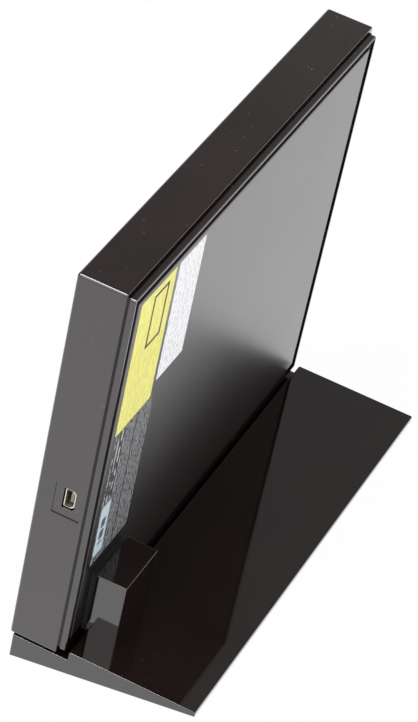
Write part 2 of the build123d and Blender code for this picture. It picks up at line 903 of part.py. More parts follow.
# Slim drive module: a folded sheet chassis, open at the front, under a sheet cover
with BuildPart() as module_chassis:
    block((-module_half, module_half), (module_rear, module_front), (module_bottom, module_top - sheet))
    cut_block(
        (-chassis_inside, chassis_inside),
        (module_rear + sheet, module_front),
        (module_floor, module_top - sheet),
    )
    cut_block(
        (sata_from - sata_window, sata_to + sata_window),
        (module_rear, module_rear + sheet),
        (sata_low - sata_window / 2, sata_low + sata_height + sata_window),
    )
    for side in (-1, 1):
        for y in lug_places:
            with BuildSketch(across(side * chassis_inside)):
                with Locations((y, lug_screw_z)):
                    Circle(module_screw_radius + thread_play)
            extrude(amount=side * sheet, mode=Mode.SUBTRACT)
    with BuildSketch(Plane.XY.offset(module_bottom)):
        with Locations(*[(x, disc_y + y) for x, y in chassis_slot_places]):
            SlotOverall(chassis_slot_length, chassis_slot_width)
    extrude(amount=sheet, mode=Mode.SUBTRACT)
finish(module_chassis, "module_chassis", drive_pose)

with BuildPart() as module_cover:
    block((-module_half, module_half), (module_rear, module_front), (module_top - sheet, module_top))
    for side in (-1, 1):
        block(
            (side * module_half, side * (module_half + sheet)),
            (module_rear, module_front),
            (module_top - cover_flange, module_top),
        )
    with BuildSketch(Plane.XY.offset(module_top)):
        with Locations((0, disc_y)):
            Circle(cover_relief_radius)
            Circle(cover_relief_radius - cover_relief_width, mode=Mode.SUBTRACT)
    extrude(amount=cover_relief_height)
finish(module_cover, "module_cover", drive_pose)

with BuildPart() as module_screws:
    for side in (-1, 1):
        for y in lug_places:
            with BuildSketch(across(side * lug_outer)):
                with Locations((y, lug_screw_z)):
                    Circle(screw_head_radius)
            extrude(amount=side * screw_head_height)
            with BuildSketch(across(side * (chassis_inside + thread_play))):
                with Locations((y, lug_screw_z)):
                    Circle(module_screw_radius)
            extrude(amount=side * (lug_outer - chassis_inside))
finish(module_screws, "module_screws", drive_pose)

guide_far = module_front - guide_front
rail_far = module_front - rail_front
with BuildPart() as rail_guides:
    for side in (-1, 1):
        block(
            (side * guide_face, side * chassis_inside),
            (guide_far - guide_length, guide_far),
            (guide_bottom, guide_bottom + guide_height),
        )
        cut_block(
            (side * guide_face, side * (guide_face + guide_groove)),
            (guide_far - guide_length, guide_far),
            (rail_bottom - rail_clearance, rail_bottom + rail_height + rail_clearance),
        )
finish(rail_guides, "rail_guides", drive_pose)
rail_middle = rail_bottom + rail_height / 2
for name, side in (("rail_upper", 1), ("rail_lower", -1)):
    with BuildPart() as rail:
        block(
            (side * rail_inner, side * rail_face),
            (rail_far - rail_length, rail_far),
            (rail_bottom, rail_bottom + rail_height),
        )
        with BuildSketch(across(side * rail_inner)):
            with Locations((rail_far - rail_length / 2, rail_middle)):
                with GridLocations(rail_length / 2, 1, 2, 1):
                    SlotOverall(rail_slot_length, rail_slot_height)
        extrude(amount=side * rail_width, mode=Mode.SUBTRACT)
    finish(rail, name, drive_pose)

# Small board at the module's rear, the socket on it and the flat cable to the tray
rear_board_near = module_rear + sheet + module_board_gap
rear_board_far = rear_board_near + module_board_depth
rear_board_low = board_top - module_board_thickness
with BuildPart() as module_board:
    rear_board_levels = (rear_board_low, board_top)
    block((module_board_from, module_board_to), (rear_board_near, rear_board_far), rear_board_levels)
    block(
        (-cable_width / 2 - cable_clamp, cable_width / 2 + cable_clamp),
        (rear_board_far - cable_clamp_depth, rear_board_far),
        (module_floor, rear_board_low),
    )
    for x in (module_board_from, module_board_to - cable_clamp_depth):
        block((x, x + cable_clamp_depth), (rear_board_near, rear_board_near + cable_clamp_depth),
              (module_floor, rear_board_low))
finish(module_board, "module_board", drive_pose)

with BuildPart() as sata_socket:
    socket_near = module_rear + sheet
    block((sata_from, sata_to), (socket_near, socket_near + sata_socket_length),
          (sata_low, sata_low + sata_height))
    cut_block(
        (sata_from + sata_blade_margin - sata_play, sata_to - sata_blade_margin + sata_play),
        (socket_near, plug_far + sata_blade_reach + sata_play),
        (sata_middle - sata_blade / 2 - sata_play, sata_middle + sata_blade / 2 + sata_play),
    )
finish(sata_socket, "sata_socket", drive_pose)

with BuildPart() as latch_pin:
    with Locations((latch_pin_x, latch_pin_y, 0)):
        rod(latch_pin_radius, module_floor, module_floor + latch_pin_height)
finish(latch_pin, "latch_pin", drive_pose)

cable_low = module_floor + cable_lift
cable_radius = cable_bend - cable_thickness
cable_turn = rear_board_far + cable_lower_run
cable_end = cable_turn - cable_upper_run
with BuildPart() as flat_cable:
    with BuildSketch(across(-cable_width / 2)):
        with BuildLine():
            Polyline((cable_turn, cable_low), (rear_board_far, cable_low),
                     (rear_board_far, cable_low + cable_thickness),
                     (cable_turn, cable_low + cable_thickness))
            RadiusArc((cable_turn, cable_low + cable_thickness),
                      (cable_turn, cable_low + 2 * cable_bend - cable_thickness), -cable_radius)
            Polyline((cable_turn, cable_low + 2 * cable_bend - cable_thickness),
                     (cable_end, cable_low + 2 * cable_bend - cable_thickness),
                     (cable_end, cable_low + 2 * cable_bend), (cable_turn, cable_low + 2 * cable_bend))
            RadiusArc((cable_turn, cable_low + 2 * cable_bend), (cable_turn, cable_low), cable_bend)
        make_face()
    extrude(amount=cable_width)
finish(flat_cable, "flat_cable", drive_pose)

# Disc tray: a moulded deck with the disc recess and windows, on two grooved skirts
shield_screw_points = [
    (x, y)
    for x in (-skirt_inside + tray_boss_inset, skirt_inside - tray_boss_inset)
    for y in (shield_rear + tray_boss_inset, tray_inner_front - tray_boss_inset)
]


def at_traverse(s, t):
    """A place given along and across the traverse, as a place on the tray."""
    turn = radians(traverse_angle)
    return (s * cos(turn) - t * sin(turn), disc_y + s * sin(turn) + t * cos(turn))


damper_places = [
    (-damper_rear, damper_rod_side),
    (damper_front, damper_rod_side + damper_step),
    (-damper_rear, -damper_rod_side),
]
damper_points = [at_traverse(s, t) for s, t in damper_places]
damper_top = traverse_top + damper_height
button_z = module_bottom + button_level
button_x = -button_from_centre

with BuildPart() as tray:
    with BuildSketch(Plane.XY.offset(deck_bottom)):
        with Locations((0, (tray_rear + bezel_back) / 2)):
            Rectangle(2 * tray_half, bezel_back - tray_rear)
        fillet(vertices().group_by(Axis.Y)[0], tray_corner_radius)
    extrude(amount=tray_top - deck_bottom)
    with BuildSketch(Plane.XY.offset(disc_ledge)):
        with Locations((0, disc_y)):
            Circle(disc_recess_radius)
    extrude(amount=tray_rim_height, mode=Mode.SUBTRACT)
    with BuildSketch(Plane.XY.offset(disc_ledge - disc_ledge_height)):
        with Locations((0, disc_y)):
            Circle(disc_recess_radius - disc_ledge_width)
    extrude(amount=disc_ledge_height, mode=Mode.SUBTRACT)
    for side in (-1, 1):
        skirt_levels = (shield_top, deck_bottom)
        block((side * skirt_inside, side * skirt_face), (shield_rear, bezel_back), skirt_levels)
        cut_block(
            (side * (rail_inner - rail_to_tray_gap), side * skirt_face),
            (shield_rear, tray_inner_front),
            (rail_bottom - rail_clearance, rail_bottom + rail_height + rail_clearance),
        )
    block((-skirt_face, skirt_face), (tray_inner_front, bezel_back), (shield_top, deck_bottom))
    with Locations(*[(x, y, 0) for x, y in shield_screw_points]):
        rod(tray_boss_radius, shield_top, deck_bottom)
        rod(mount_screw_radius + thread_play, shield_top, deck_bottom - tray_deck, Mode.SUBTRACT)
    with Locations(*[(x, y, 0) for x, y in damper_points]):
        rod(damper_radius, damper_top, deck_bottom)
        rod(mount_screw_radius + thread_play, damper_top, deck_bottom, Mode.SUBTRACT)
    with BuildSketch(Plane.XY.offset(deck_bottom)):
        with Locations((0, disc_y)):
            Circle(hub_window_radius)
        with Locations(Location((*at_traverse(lens_window_end / 2, 0), 0), (0, 0, traverse_angle))):
            Rectangle(lens_window_end, lens_window_width)
        fillet(vertices().sort_by(Axis.Y)[-2:], lens_window_radius)
    extrude(amount=tray_top - deck_bottom, mode=Mode.SUBTRACT)
    cut_block(
        (button_x - button_opening / 2, button_x + button_opening / 2),
        (tray_inner_front, bezel_back),
        (tray_board_top, button_z + button_opening / 4),
    )
    light_x = -light_from_centre
    cut_block(
        (light_x - light_width / 2 - button_gap, light_x + light_width / 2 + button_gap),
        (tray_inner_front, bezel_back),
        (button_z - light_height / 2 - button_gap, button_z + light_height / 2 + button_gap),
    )
    with BuildSketch(along(bezel_back)):
        with Locations((-pinhole_from_centre, button_z)):
            Circle(pinhole_radius)
    extrude(amount=tray_front_wall, mode=Mode.SUBTRACT)
finish(tray, "tray", drive_pose)

with BuildPart() as tray_bezel:
    bezel_middle = (module_bottom + module_top) / 2
    with BuildSketch(along(drive_depth)):
        with Locations((0, bezel_middle)):
            RectangleRounded(module_width, module_height, bezel_corner_radius)
    extrude(amount=bezel_thickness)
    fillet(tray_bezel.faces().sort_by(Axis.Y)[-1].edges(), bezel_edge)
    cut_block(
        (-module_half + bezel_wall, module_half - bezel_wall),
        (bezel_back, drive_depth - bezel_wall),
        (module_bottom + bezel_wall, module_top - bezel_wall),
    )
    for x in bezel_rib_places:
        block((x - bezel_rib / 2, x + bezel_rib / 2), (bezel_back, drive_depth - bezel_wall),
              (module_bottom + bezel_wall, module_top - bezel_wall))
    with BuildSketch(along(drive_depth)):
        with Locations((button_x, button_z)):
            SlotOverall(button_width + 2 * button_gap, button_height + 2 * button_gap)
        with Locations((light_x, button_z)):
            Rectangle(light_width + 2 * light_play, light_height + 2 * light_play)
        with Locations((-pinhole_from_centre, button_z)):
            Circle(pinhole_radius)
    extrude(amount=bezel_wall, mode=Mode.SUBTRACT)
finish(tray_bezel, "tray_bezel", drive_pose)

with BuildPart() as tray_shield:
    block((-skirt_face, skirt_face), (shield_rear, tray_inner_front), (shield_bottom, shield_top))
    with Locations(*[(x, y, 0) for x, y in shield_screw_points + damper_points]):
        rod(mount_screw_head_radius + shield_hole_play, shield_bottom, shield_top, Mode.SUBTRACT)
    with Locations((latch_pivot_x, latch_pivot_y, 0)):
        rod(latch_stud_radius, lever_bottom - latch_stud_reach, shield_bottom)
    cut_block(
        (-cable_width / 2 - cable_clamp, cable_width / 2 + cable_clamp),
        (shield_rear, shield_rear + tray_board_margin + cable_connector_depth),
        (shield_bottom, shield_top),
    )
    cut_block(
        (latch_pivot_x - latch_window_side, latch_pivot_x + latch_window_inner),
        (latch_tail_y - latch_window_side, latch_tail_y + latch_window_side),
        (shield_bottom, shield_top),
    )
finish(tray_shield, "tray_shield", drive_pose)

with BuildPart() as tray_screws:
    with Locations(*[(x, y, 0) for x, y in shield_screw_points]):
        rod(mount_screw_head_radius, shield_top - mount_screw_head_height + shield_edge_gap, shield_top)
        rod(mount_screw_radius, shield_top, deck_bottom - 2 * tray_deck)
finish(tray_screws, "tray_screws", drive_pose)

# Traverse: a die-cast frame on three rubber dampers, with two rods for the sled
window_rod_side = sled_half_width + traverse_window_gap
window_screw_side = -lead_screw_offset + nut_width / 2 + traverse_window_gap
window_sum = traverse_corner_sum - traverse_corner_web
end_half = traverse_corner_sum - traverse_end
window_end_half = window_sum - traverse_window_end
with BuildPart() as traverse_frame:
    with BuildSketch(Plane.XY.offset(traverse_bottom)):
        Polygon(
            (-traverse_rear, -traverse_screw_side),
            (traverse_corner_sum - traverse_screw_side, -traverse_screw_side),
            (traverse_end, -end_half),
            (traverse_end, end_half),
            (traverse_corner_sum - traverse_rod_side, traverse_rod_side),
            (-traverse_rear, traverse_rod_side),
        )
        Polygon(
            (traverse_window_start, -window_screw_side),
            (window_sum - window_screw_side, -window_screw_side),
            (traverse_window_end, -window_end_half),
            (traverse_window_end, window_end_half),
            (window_sum - window_rod_side, window_rod_side),
            (traverse_window_start, window_rod_side),
            mode=Mode.SUBTRACT,
        )
        Circle(motor_base_radius + traverse_web)
    extrude(amount=traverse_floor)
    for offset in (main_rod_offset, side_rod_offset):
        for start in (rod_holder_start, rod_holder_end):
            block(
                (start, start + rod_holder_thickness),
                (offset - rod_holder_half, offset + rod_holder_half),
                (traverse_bottom, rod_height + rod_radius + rod_holder_cap),
            )
            with BuildSketch(across(start)):
                with Locations((offset, rod_height)):
                    Circle(rod_radius)
            extrude(amount=rod_holder_thickness, mode=Mode.SUBTRACT)
    block(
        (lead_screw_end - screw_bearing, lead_screw_end),
        (lead_screw_offset - rod_holder_half, lead_screw_offset + rod_holder_half),
        (traverse_bottom, rod_height + lead_screw_radius + rod_holder_cap),
    )
    with BuildSketch(across(lead_screw_end - screw_bearing)):
        with Locations((lead_screw_offset, rod_height)):
            Circle(lead_screw_neck + rod_clearance)
    extrude(amount=screw_bearing, mode=Mode.SUBTRACT)
    with Locations(*[(x, y, 0) for x, y in damper_places]):
        rod(mount_screw_radius + screw_clearance, traverse_bottom, traverse_top, Mode.SUBTRACT)
    rod(spindle_radius + traverse_web, traverse_bottom, traverse_top, Mode.SUBTRACT)
finish(traverse_frame, "traverse_frame", traverse_pose)

with BuildPart() as damper_bushes:
    with Locations(*[(x, y, 0) for x, y in damper_places]):
        rod(damper_radius, traverse_top, damper_top)
        rod(mount_screw_radius + screw_clearance, traverse_top, damper_top, Mode.SUBTRACT)
finish(damper_bushes, "damper_bushes", traverse_pose)

with BuildPart() as damper_screws:
    with Locations(*[(x, y, 0) for x, y in damper_places]):
        rod(mount_screw_head_radius, traverse_bottom - mount_screw_head_height, traverse_bottom)
        rod(mount_screw_radius, traverse_bottom, deck_bottom - shield_edge_gap)
finish(damper_screws, "damper_screws", traverse_pose)

with BuildPart() as guide_rods:
    for offset in (main_rod_offset, side_rod_offset):
        with BuildSketch(across(rod_holder_start)):
            with Locations((offset, rod_height)):
                Circle(rod_radius)
        extrude(amount=rod_holder_end + rod_holder_thickness - rod_holder_start)
finish(guide_rods, "guide_rods", traverse_pose)

with BuildPart() as sled_motor:
    motor_far = lead_screw_start - sled_motor_gap
    with BuildSketch(across(motor_far - sled_motor_length)):
        with Locations((lead_screw_offset, traverse_top + sled_motor_height / 2)):
            RectangleRounded(sled_motor_width, sled_motor_height, sled_motor_corner)
    extrude(amount=sled_motor_length)
    with BuildSketch(across(motor_far)):
        with Locations((lead_screw_offset, rod_height)):
            Circle(lead_screw_neck + rod_clearance)
    extrude(amount=-screw_bearing, mode=Mode.SUBTRACT)
finish(sled_motor, "sled_motor", traverse_pose)

with BuildPart() as lead_screw:
    thread_end = lead_screw_end - screw_bearing - lead_screw_end_play
    with BuildSketch(across(lead_screw_start)):
        with Locations((lead_screw_offset, rod_height)):
            Circle(lead_screw_radius)
    extrude(amount=thread_end - lead_screw_start)
    with BuildSketch(across(motor_far - screw_bearing + lead_screw_end_play)):
        with Locations((lead_screw_offset, rod_height)):
            Circle(lead_screw_neck)
    extrude(amount=lead_screw_end - motor_far + screw_bearing - 2 * lead_screw_end_play)
finish(lead_screw, "lead_screw", traverse_pose)

# Spindle: motor base with its bush, stator, rotor with the turntable, and the disc hub
motor_base_top = traverse_top + motor_base_height
rotor_bottom = motor_base_top + rotor_gap
turntable_bottom = rotor_bottom + rotor_height
turntable_top = turntable_bottom + turntable_thickness
bush_top = turntable_bottom - rotor_wall - motor_bush_gap
with BuildPart() as spindle_motor_base:
    rod(motor_base_radius, traverse_top, motor_base_top)
    rod(motor_bush_radius, traverse_bottom, bush_top)
    rod(spindle_radius + spindle_clearance, traverse_bottom + motor_thrust, bush_top, Mode.SUBTRACT)
finish(spindle_motor_base, "spindle_motor_base", traverse_pose)

with BuildPart() as spindle_stator:
    stator_top = motor_base_top + stator_height
    rod(stator_ring, motor_base_top, stator_top)
    with PolarLocations(stator_arm / 2, stator_poles):
        with Locations((0, 0, (motor_base_top + stator_top) / 2)):
            Box(stator_arm, stator_arm_width, stator_height)
    with PolarLocations(stator_arm + stator_tip / 2, stator_poles):
        with Locations((0, 0, (motor_base_top + stator_top) / 2)):
            Box(stator_tip, stator_tip_width, stator_height)
    rod(motor_bush_radius, motor_base_top, stator_top, Mode.SUBTRACT)
finish(spindle_stator, "spindle_stator", traverse_pose)

with BuildPart() as spindle_rotor:
    rod(rotor_radius, rotor_bottom, turntable_bottom)
    rod(rotor_radius - rotor_wall, rotor_bottom, turntable_bottom - rotor_wall, Mode.SUBTRACT)
    rod(spindle_radius, traverse_bottom + motor_thrust + spindle_clearance, turntable_bottom)
    rod(turntable_radius, turntable_bottom, turntable_top)
    chamfer(spindle_rotor.faces().sort_by(Axis.Z)[-1].edges(), rotor_edge)
finish(spindle_rotor, "spindle_rotor", traverse_pose)

with BuildPart() as hub_ring:
    rod(hub_ring_outer, turntable_top, turntable_top + hub_ring_height)
    rod(hub_ring_inner, turntable_top, turntable_top + hub_ring_height, Mode.SUBTRACT)
finish(hub_ring, "hub_ring", traverse_pose)

jaw_floor = turntable_top + jaw_seat
with BuildPart() as disc_hub:
    rod(hub_radius, turntable_top, turntable_top + hub_height)
    chamfer(disc_hub.faces().sort_by(Axis.Z)[-1].edges(), hub_bevel)
    with PolarLocations((jaw_slot_inner + hub_radius) / 2, jaw_count):
        with Locations((0, 0, jaw_floor)):
            Box(
                hub_radius - jaw_slot_inner,
                jaw_width + 2 * jaw_clearance,
                hub_height - jaw_seat,
                align=(Align.CENTER, Align.CENTER, Align.MIN),
                mode=Mode.SUBTRACT,
            )
    rod(spindle_radius, turntable_top + jaw_seat, turntable_top + hub_height, Mode.SUBTRACT)
finish(disc_hub, "disc_hub", traverse_pose)

for number in range(jaw_count):
    with BuildPart() as hub_jaw:
        jaw_bottom = jaw_floor + jaw_lift
        block((jaw_inner_radius, hub_radius + jaw_proud), (-jaw_width / 2, jaw_width / 2),
              (jaw_bottom, jaw_bottom + jaw_height))
        chamfer(hub_jaw.faces().sort_by(Axis.X)[-1].edges().sort_by(Axis.Z)[-1], jaw_bevel)
    jaw_turn = Location((0, 0, 0), (0, 0, 360 / jaw_count * number))
    finish(hub_jaw, f"hub_jaw_{number + 1}", traverse_pose * jaw_turn)

# Pickup sled on its two rods, the nut that drives it, and the lens in its holder
sled_bottom = module_bottom + sled_low
sled_top = sled_bottom + sled_height
sled_near = lens_start - sled_inner
sled_far = lens_start + sled_outer
holder_top = module_bottom + lens_holder_top
with BuildPart() as pickup_sled:
    with BuildSketch(Plane.XY.offset(sled_bottom)):
        Polygon(
            (sled_near, -sled_half_width),
            (sled_far - sled_taper, -sled_half_width),
            (sled_far, -sled_half_width + sled_taper),
            (sled_far, sled_half_width - sled_taper),
            (sled_far - sled_taper, sled_half_width),
            (sled_near, sled_half_width),
        )
        Circle(sled_motor_clearance, mode=Mode.SUBTRACT)
    extrude(amount=sled_height)
    chamfer(pickup_sled.faces().sort_by(Axis.Z)[-1].edges(), sled_edge)
    for offset in (main_rod_offset, side_rod_offset):
        with BuildSketch(across(sled_near)):
            with Locations((offset, rod_height)):
                Circle(rod_radius + rod_clearance)
        extrude(amount=sled_far - sled_near, mode=Mode.SUBTRACT)
    pocket_half = lens_holder_length / 2 + lens_holder_play
    cut_block(
        (lens_start - pocket_half, lens_start + pocket_half),
        (-lens_holder_width / 2 - lens_holder_play, lens_holder_width / 2 + lens_holder_play),
        (sled_bottom + lens_pocket_floor, sled_top),
    )
    with Locations((lens_start, 0, 0)):
        rod(laser_radius, sled_bottom, sled_bottom + lens_pocket_floor, Mode.SUBTRACT)
finish(pickup_sled, "pickup_sled", traverse_pose)

nut_middle = lens_start - nut_behind
with BuildPart() as rack_nut:
    block(
        (nut_middle - nut_length / 2, nut_middle + nut_length / 2),
        (lead_screw_offset - nut_width / 2, lead_screw_offset + nut_width / 2),
        (rod_height - nut_height / 2, rod_height + nut_height / 2),
    )
    block(
        (nut_middle - nut_arm / 2, nut_middle + nut_arm / 2),
        (lead_screw_offset, -sled_half_width),
        (rod_height - nut_arm_height / 2, rod_height + nut_arm_height / 2),
    )
    with BuildSketch(across(nut_middle - nut_length / 2)):
        with Locations((lead_screw_offset, rod_height)):
            Circle(lead_screw_radius + rod_clearance)
    extrude(amount=nut_length, mode=Mode.SUBTRACT)
finish(rack_nut, "rack_nut", traverse_pose)

with BuildPart() as lens_holder:
    block(
        (lens_start - lens_holder_length / 2, lens_start + lens_holder_length / 2),
        (-lens_holder_width / 2, lens_holder_width / 2),
        (holder_top - lens_holder_height, holder_top),
    )
    with Locations((lens_start, 0, 0)):
        rod(lens_radius - lens_lip, holder_top - lens_holder_height, holder_top, Mode.SUBTRACT)
        rod(lens_radius, holder_top - lens_seat, holder_top, Mode.SUBTRACT)
finish(lens_holder, "lens_holder", traverse_pose)

with BuildPart() as objective_lens:
    with BuildSketch(Plane.XZ):
        with BuildLine():
            Polyline((0, holder_top + lens_proud), (0, holder_top - lens_seat),
                     (lens_radius, holder_top - lens_seat), (lens_radius, holder_top))
            dome = (lens_radius**2 + lens_proud**2) / (2 * lens_proud)
            RadiusArc((lens_radius, holder_top), (0, holder_top + lens_proud), -dome)
        make_face()
    revolve(axis=Axis.Z)
finish(objective_lens, "objective_lens", traverse_pose * Location((lens_start, 0, 0)))

# Tray board in an L along the tray's side, its parts, the eject button and the light pipe
board_near_y = shield_rear + tray_board_margin
front_board_y = tray_inner_front - tray_board_margin - tray_board_front_depth
with BuildPart() as tray_board:
    for inner, near, far in (
        (tray_board_reach, board_near_y, board_near_y + tray_board_reach_depth),
        (-tray_board_inner, board_near_y, board_near_y + tray_board_rear_depth),
        (-tray_board_side + tray_board_strip, board_near_y, front_board_y),
        (-tray_board_front_inner, front_board_y, tray_inner_front - tray_board_margin),
    ):
        block((-tray_board_side, inner), (near, far), (tray_board_bottom, tray_board_top))
    block(
        (-cable_width / 2 - cable_connector_margin, cable_width / 2 + cable_connector_margin),
        (board_near_y, board_near_y + cable_connector_depth),
        (cable_low + 2 * cable_bend, tray_board_bottom),
    )
finish(tray_board, "tray_board", drive_pose)

light_near = drive_depth - light_reach
with BuildPart() as tray_chips:
    for near, chips in ((board_near_y, tray_rear_chips), (front_board_y, tray_front_chips)):
        for x, y, length, width, height in chips:
            block(
                (x - length / 2, x + length / 2),
                (near + y - width / 2, near + y + width / 2),
                (tray_board_top, tray_board_top + height),
            )
    block((light_x - light_width / 2, light_x + light_width / 2), (light_near, light_near + light_leg),
          (tray_board_top, tray_board_top + led_height))
finish(tray_chips, "tray_chips", drive_pose)

with BuildPart() as light_pipe:
    light_limits = (light_x - light_width / 2, light_x + light_width / 2)
    light_top = button_z + light_height / 2
    block(light_limits, (light_near, drive_depth), (light_top - light_height, light_top))
    block(light_limits, (light_near, light_near + light_leg),
          (tray_board_top + led_height + led_gap, light_top))
finish(light_pipe, "light_pipe", drive_pose)

switch_front = tray_inner_front - switch_gap
with BuildPart() as eject_switch:
    block(
        (button_x - switch_width / 2, button_x + switch_width / 2),
        (switch_front - switch_depth, switch_front),
        (tray_board_top, tray_board_top + switch_height),
    )
finish(eject_switch, "eject_switch", drive_pose)

with BuildPart() as eject_button:
    flange_front = drive_depth - bezel_wall
    flange_back = flange_front - button_flange_thickness
    with BuildSketch(along(drive_depth + button_proud)):
        with Locations((button_x, button_z)):
            SlotOverall(button_width, button_height)
    extrude(amount=button_proud + bezel_wall)
    chamfer(eject_button.faces().sort_by(Axis.Y)[-1].edges(), button_edge)
    with BuildSketch(along(flange_front)):
        with Locations((button_x, button_z)):
            SlotOverall(button_width + 2 * button_flange, button_height + 2 * button_flange)
    extrude(amount=button_flange_thickness)
    block(
        (button_x - button_stem_width / 2, button_x + button_stem_width / 2),
        (switch_front + button_travel + switch_play, flange_back),
        (button_z - button_stem / 2, button_z + button_stem / 2),
    )
finish(eject_button, "eject_button", drive_pose)

# Latch: a lever under the shield that hooks behind the chassis pin, and its solenoid
plunger_z = shield_top + solenoid_height / 2
tail_x = latch_pivot_x
solenoid_near = tail_x + solenoid_inset
with BuildPart() as latch_lever:
    with BuildSketch(Plane.XY.offset(lever_bottom)):
        nose_x = latch_pin_x + latch_nose_from_pin
        Polygon(
            (latch_pivot_x - latch_arm_width / 2, latch_pivot_y),
            (latch_pivot_x + latch_arm_width / 2, latch_pivot_y),
            (nose_x + latch_arm_width, latch_pin_y - latch_pin_radius),
            (nose_x, latch_pin_y - latch_pin_radius),
            (nose_x, latch_pin_y - latch_pin_radius - latch_nose_behind),
            (nose_x + latch_arm_width / 2, latch_pin_y - latch_pin_radius - 2 * latch_nose_behind),
        )
        with Locations((latch_pivot_x, (latch_pivot_y + latch_tail_y) / 2)):
            Rectangle(latch_arm_width, latch_tail)
        with Locations((latch_pivot_x, latch_pivot_y)):
            Circle(latch_boss_radius)
        with Locations((tail_x, latch_tail_y)):
            Circle(latch_tail_radius)
        with Locations((latch_pivot_x, latch_pivot_y)):
            Circle(latch_stud_radius + rod_clearance, mode=Mode.SUBTRACT)
    extrude(amount=latch_lever_thickness)
    with Locations((tail_x, latch_tail_y, 0)):
        rod(latch_rod_radius, lever_bottom, plunger_z + plunger_head_radius)
finish(latch_lever, "latch_lever", drive_pose)

with BuildPart() as latch_solenoid:
    solenoid_sides = (latch_tail_y - solenoid_width / 2, latch_tail_y + solenoid_width / 2)
    coil_levels = (shield_top + solenoid_coil_inset, shield_top + solenoid_height - solenoid_coil_inset)
    block((solenoid_near, solenoid_near + solenoid_length),
          (solenoid_sides[0] + solenoid_coil_inset, solenoid_sides[1] - solenoid_coil_inset), coil_levels)
    for x in (solenoid_near, solenoid_near + solenoid_length - solenoid_cheek):
        block((x, x + solenoid_cheek), solenoid_sides, (shield_top, shield_top + solenoid_height))
    with BuildSketch(across(solenoid_near)):
        with Locations((latch_tail_y, plunger_z)):
            Circle(plunger_radius + plunger_play)
    extrude(amount=plunger_bore, mode=Mode.SUBTRACT)
finish(latch_solenoid, "latch_solenoid", drive_pose)

with BuildPart() as solenoid_plunger:
    with BuildSketch(across(tail_x - plunger_front)):
        with Locations((latch_tail_y, plunger_z)):
            Circle(plunger_radius)
    extrude(amount=solenoid_inset + plunger_front + plunger_reach)
    with Locations((tail_x, latch_tail_y, plunger_z)):
        Box(plunger_hole_length, plunger_hole_width, 2 * plunger_radius, mode=Mode.SUBTRACT)
finish(solenoid_plunger, "solenoid_plunger", drive_pose)
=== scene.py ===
import bpy
from math import pi, radians
from mathutils import Matrix, Vector


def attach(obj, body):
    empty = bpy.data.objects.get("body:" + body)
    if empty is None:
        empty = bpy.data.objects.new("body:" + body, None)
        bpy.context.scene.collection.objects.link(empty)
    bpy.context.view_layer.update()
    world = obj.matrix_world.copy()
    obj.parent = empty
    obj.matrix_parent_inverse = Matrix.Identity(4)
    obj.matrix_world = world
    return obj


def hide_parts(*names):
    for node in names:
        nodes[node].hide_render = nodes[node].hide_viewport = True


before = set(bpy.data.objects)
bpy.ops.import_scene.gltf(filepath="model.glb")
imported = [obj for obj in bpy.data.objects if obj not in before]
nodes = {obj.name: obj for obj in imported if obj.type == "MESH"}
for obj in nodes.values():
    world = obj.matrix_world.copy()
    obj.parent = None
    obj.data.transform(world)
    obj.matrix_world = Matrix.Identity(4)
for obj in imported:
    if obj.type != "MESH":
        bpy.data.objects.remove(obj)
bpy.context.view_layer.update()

# The table and the studio: a plain white sheet under the stand, a pale room whose reflection
# falls off towards its ceiling and its right, and three soft lamps. The camera sees the sheet
# and the room as white, and the sheet keeps a trace of the object's shadow.
shown_white = 0.97
bpy.ops.object.select_all(action="DESELECT")
bpy.ops.mesh.primitive_plane_add(size=12, location=(0, 0, 0))
table_sheet = bpy.context.object
table_sheet.name = "table_sheet"
white_sheet = bpy.data.materials.new("white_sheet")
white_sheet.use_nodes = True
sheet_nodes, sheet_links = white_sheet.node_tree.nodes, white_sheet.node_tree.links
sheet_out = sheet_nodes["Material Output"]
sheet_nodes.remove(sheet_nodes["Principled BSDF"])
sheet_paper = sheet_nodes.new("ShaderNodeBsdfDiffuse")
sheet_paper.inputs["Color"].default_value = (0.82, 0.82, 0.82, 1)
sheet_glow = sheet_nodes.new("ShaderNodeEmission")
sheet_glow.inputs["Strength"].default_value = 1.0
sheet_ray = sheet_nodes.new("ShaderNodeLightPath")
sheet_any = sheet_nodes.new("ShaderNodeMath")
sheet_any.operation = "MAXIMUM"
sheet_seen = sheet_nodes.new("ShaderNodeMath")
sheet_seen.operation = "MAXIMUM"
sheet_share = sheet_nodes.new("ShaderNodeMath")
sheet_share.operation = "MULTIPLY"
sheet_share.inputs[1].default_value = shown_white
sheet_mix = sheet_nodes.new("ShaderNodeMixShader")
sheet_links.new(sheet_ray.outputs["Is Camera Ray"], sheet_any.inputs[0])
sheet_links.new(sheet_ray.outputs["Is Glossy Ray"], sheet_any.inputs[1])
sheet_links.new(sheet_any.outputs[0], sheet_seen.inputs[0])
sheet_links.new(sheet_ray.outputs["Is Transmission Ray"], sheet_seen.inputs[1])
sheet_links.new(sheet_seen.outputs[0], sheet_share.inputs[0])
sheet_links.new(sheet_share.outputs[0], sheet_mix.inputs["Fac"])
sheet_links.new(sheet_paper.outputs[0], sheet_mix.inputs[1])
sheet_links.new(sheet_glow.outputs[0], sheet_mix.inputs[2])
sheet_links.new(sheet_mix.outputs[0], sheet_out.inputs["Surface"])
table_sheet.data.materials.append(white_sheet)

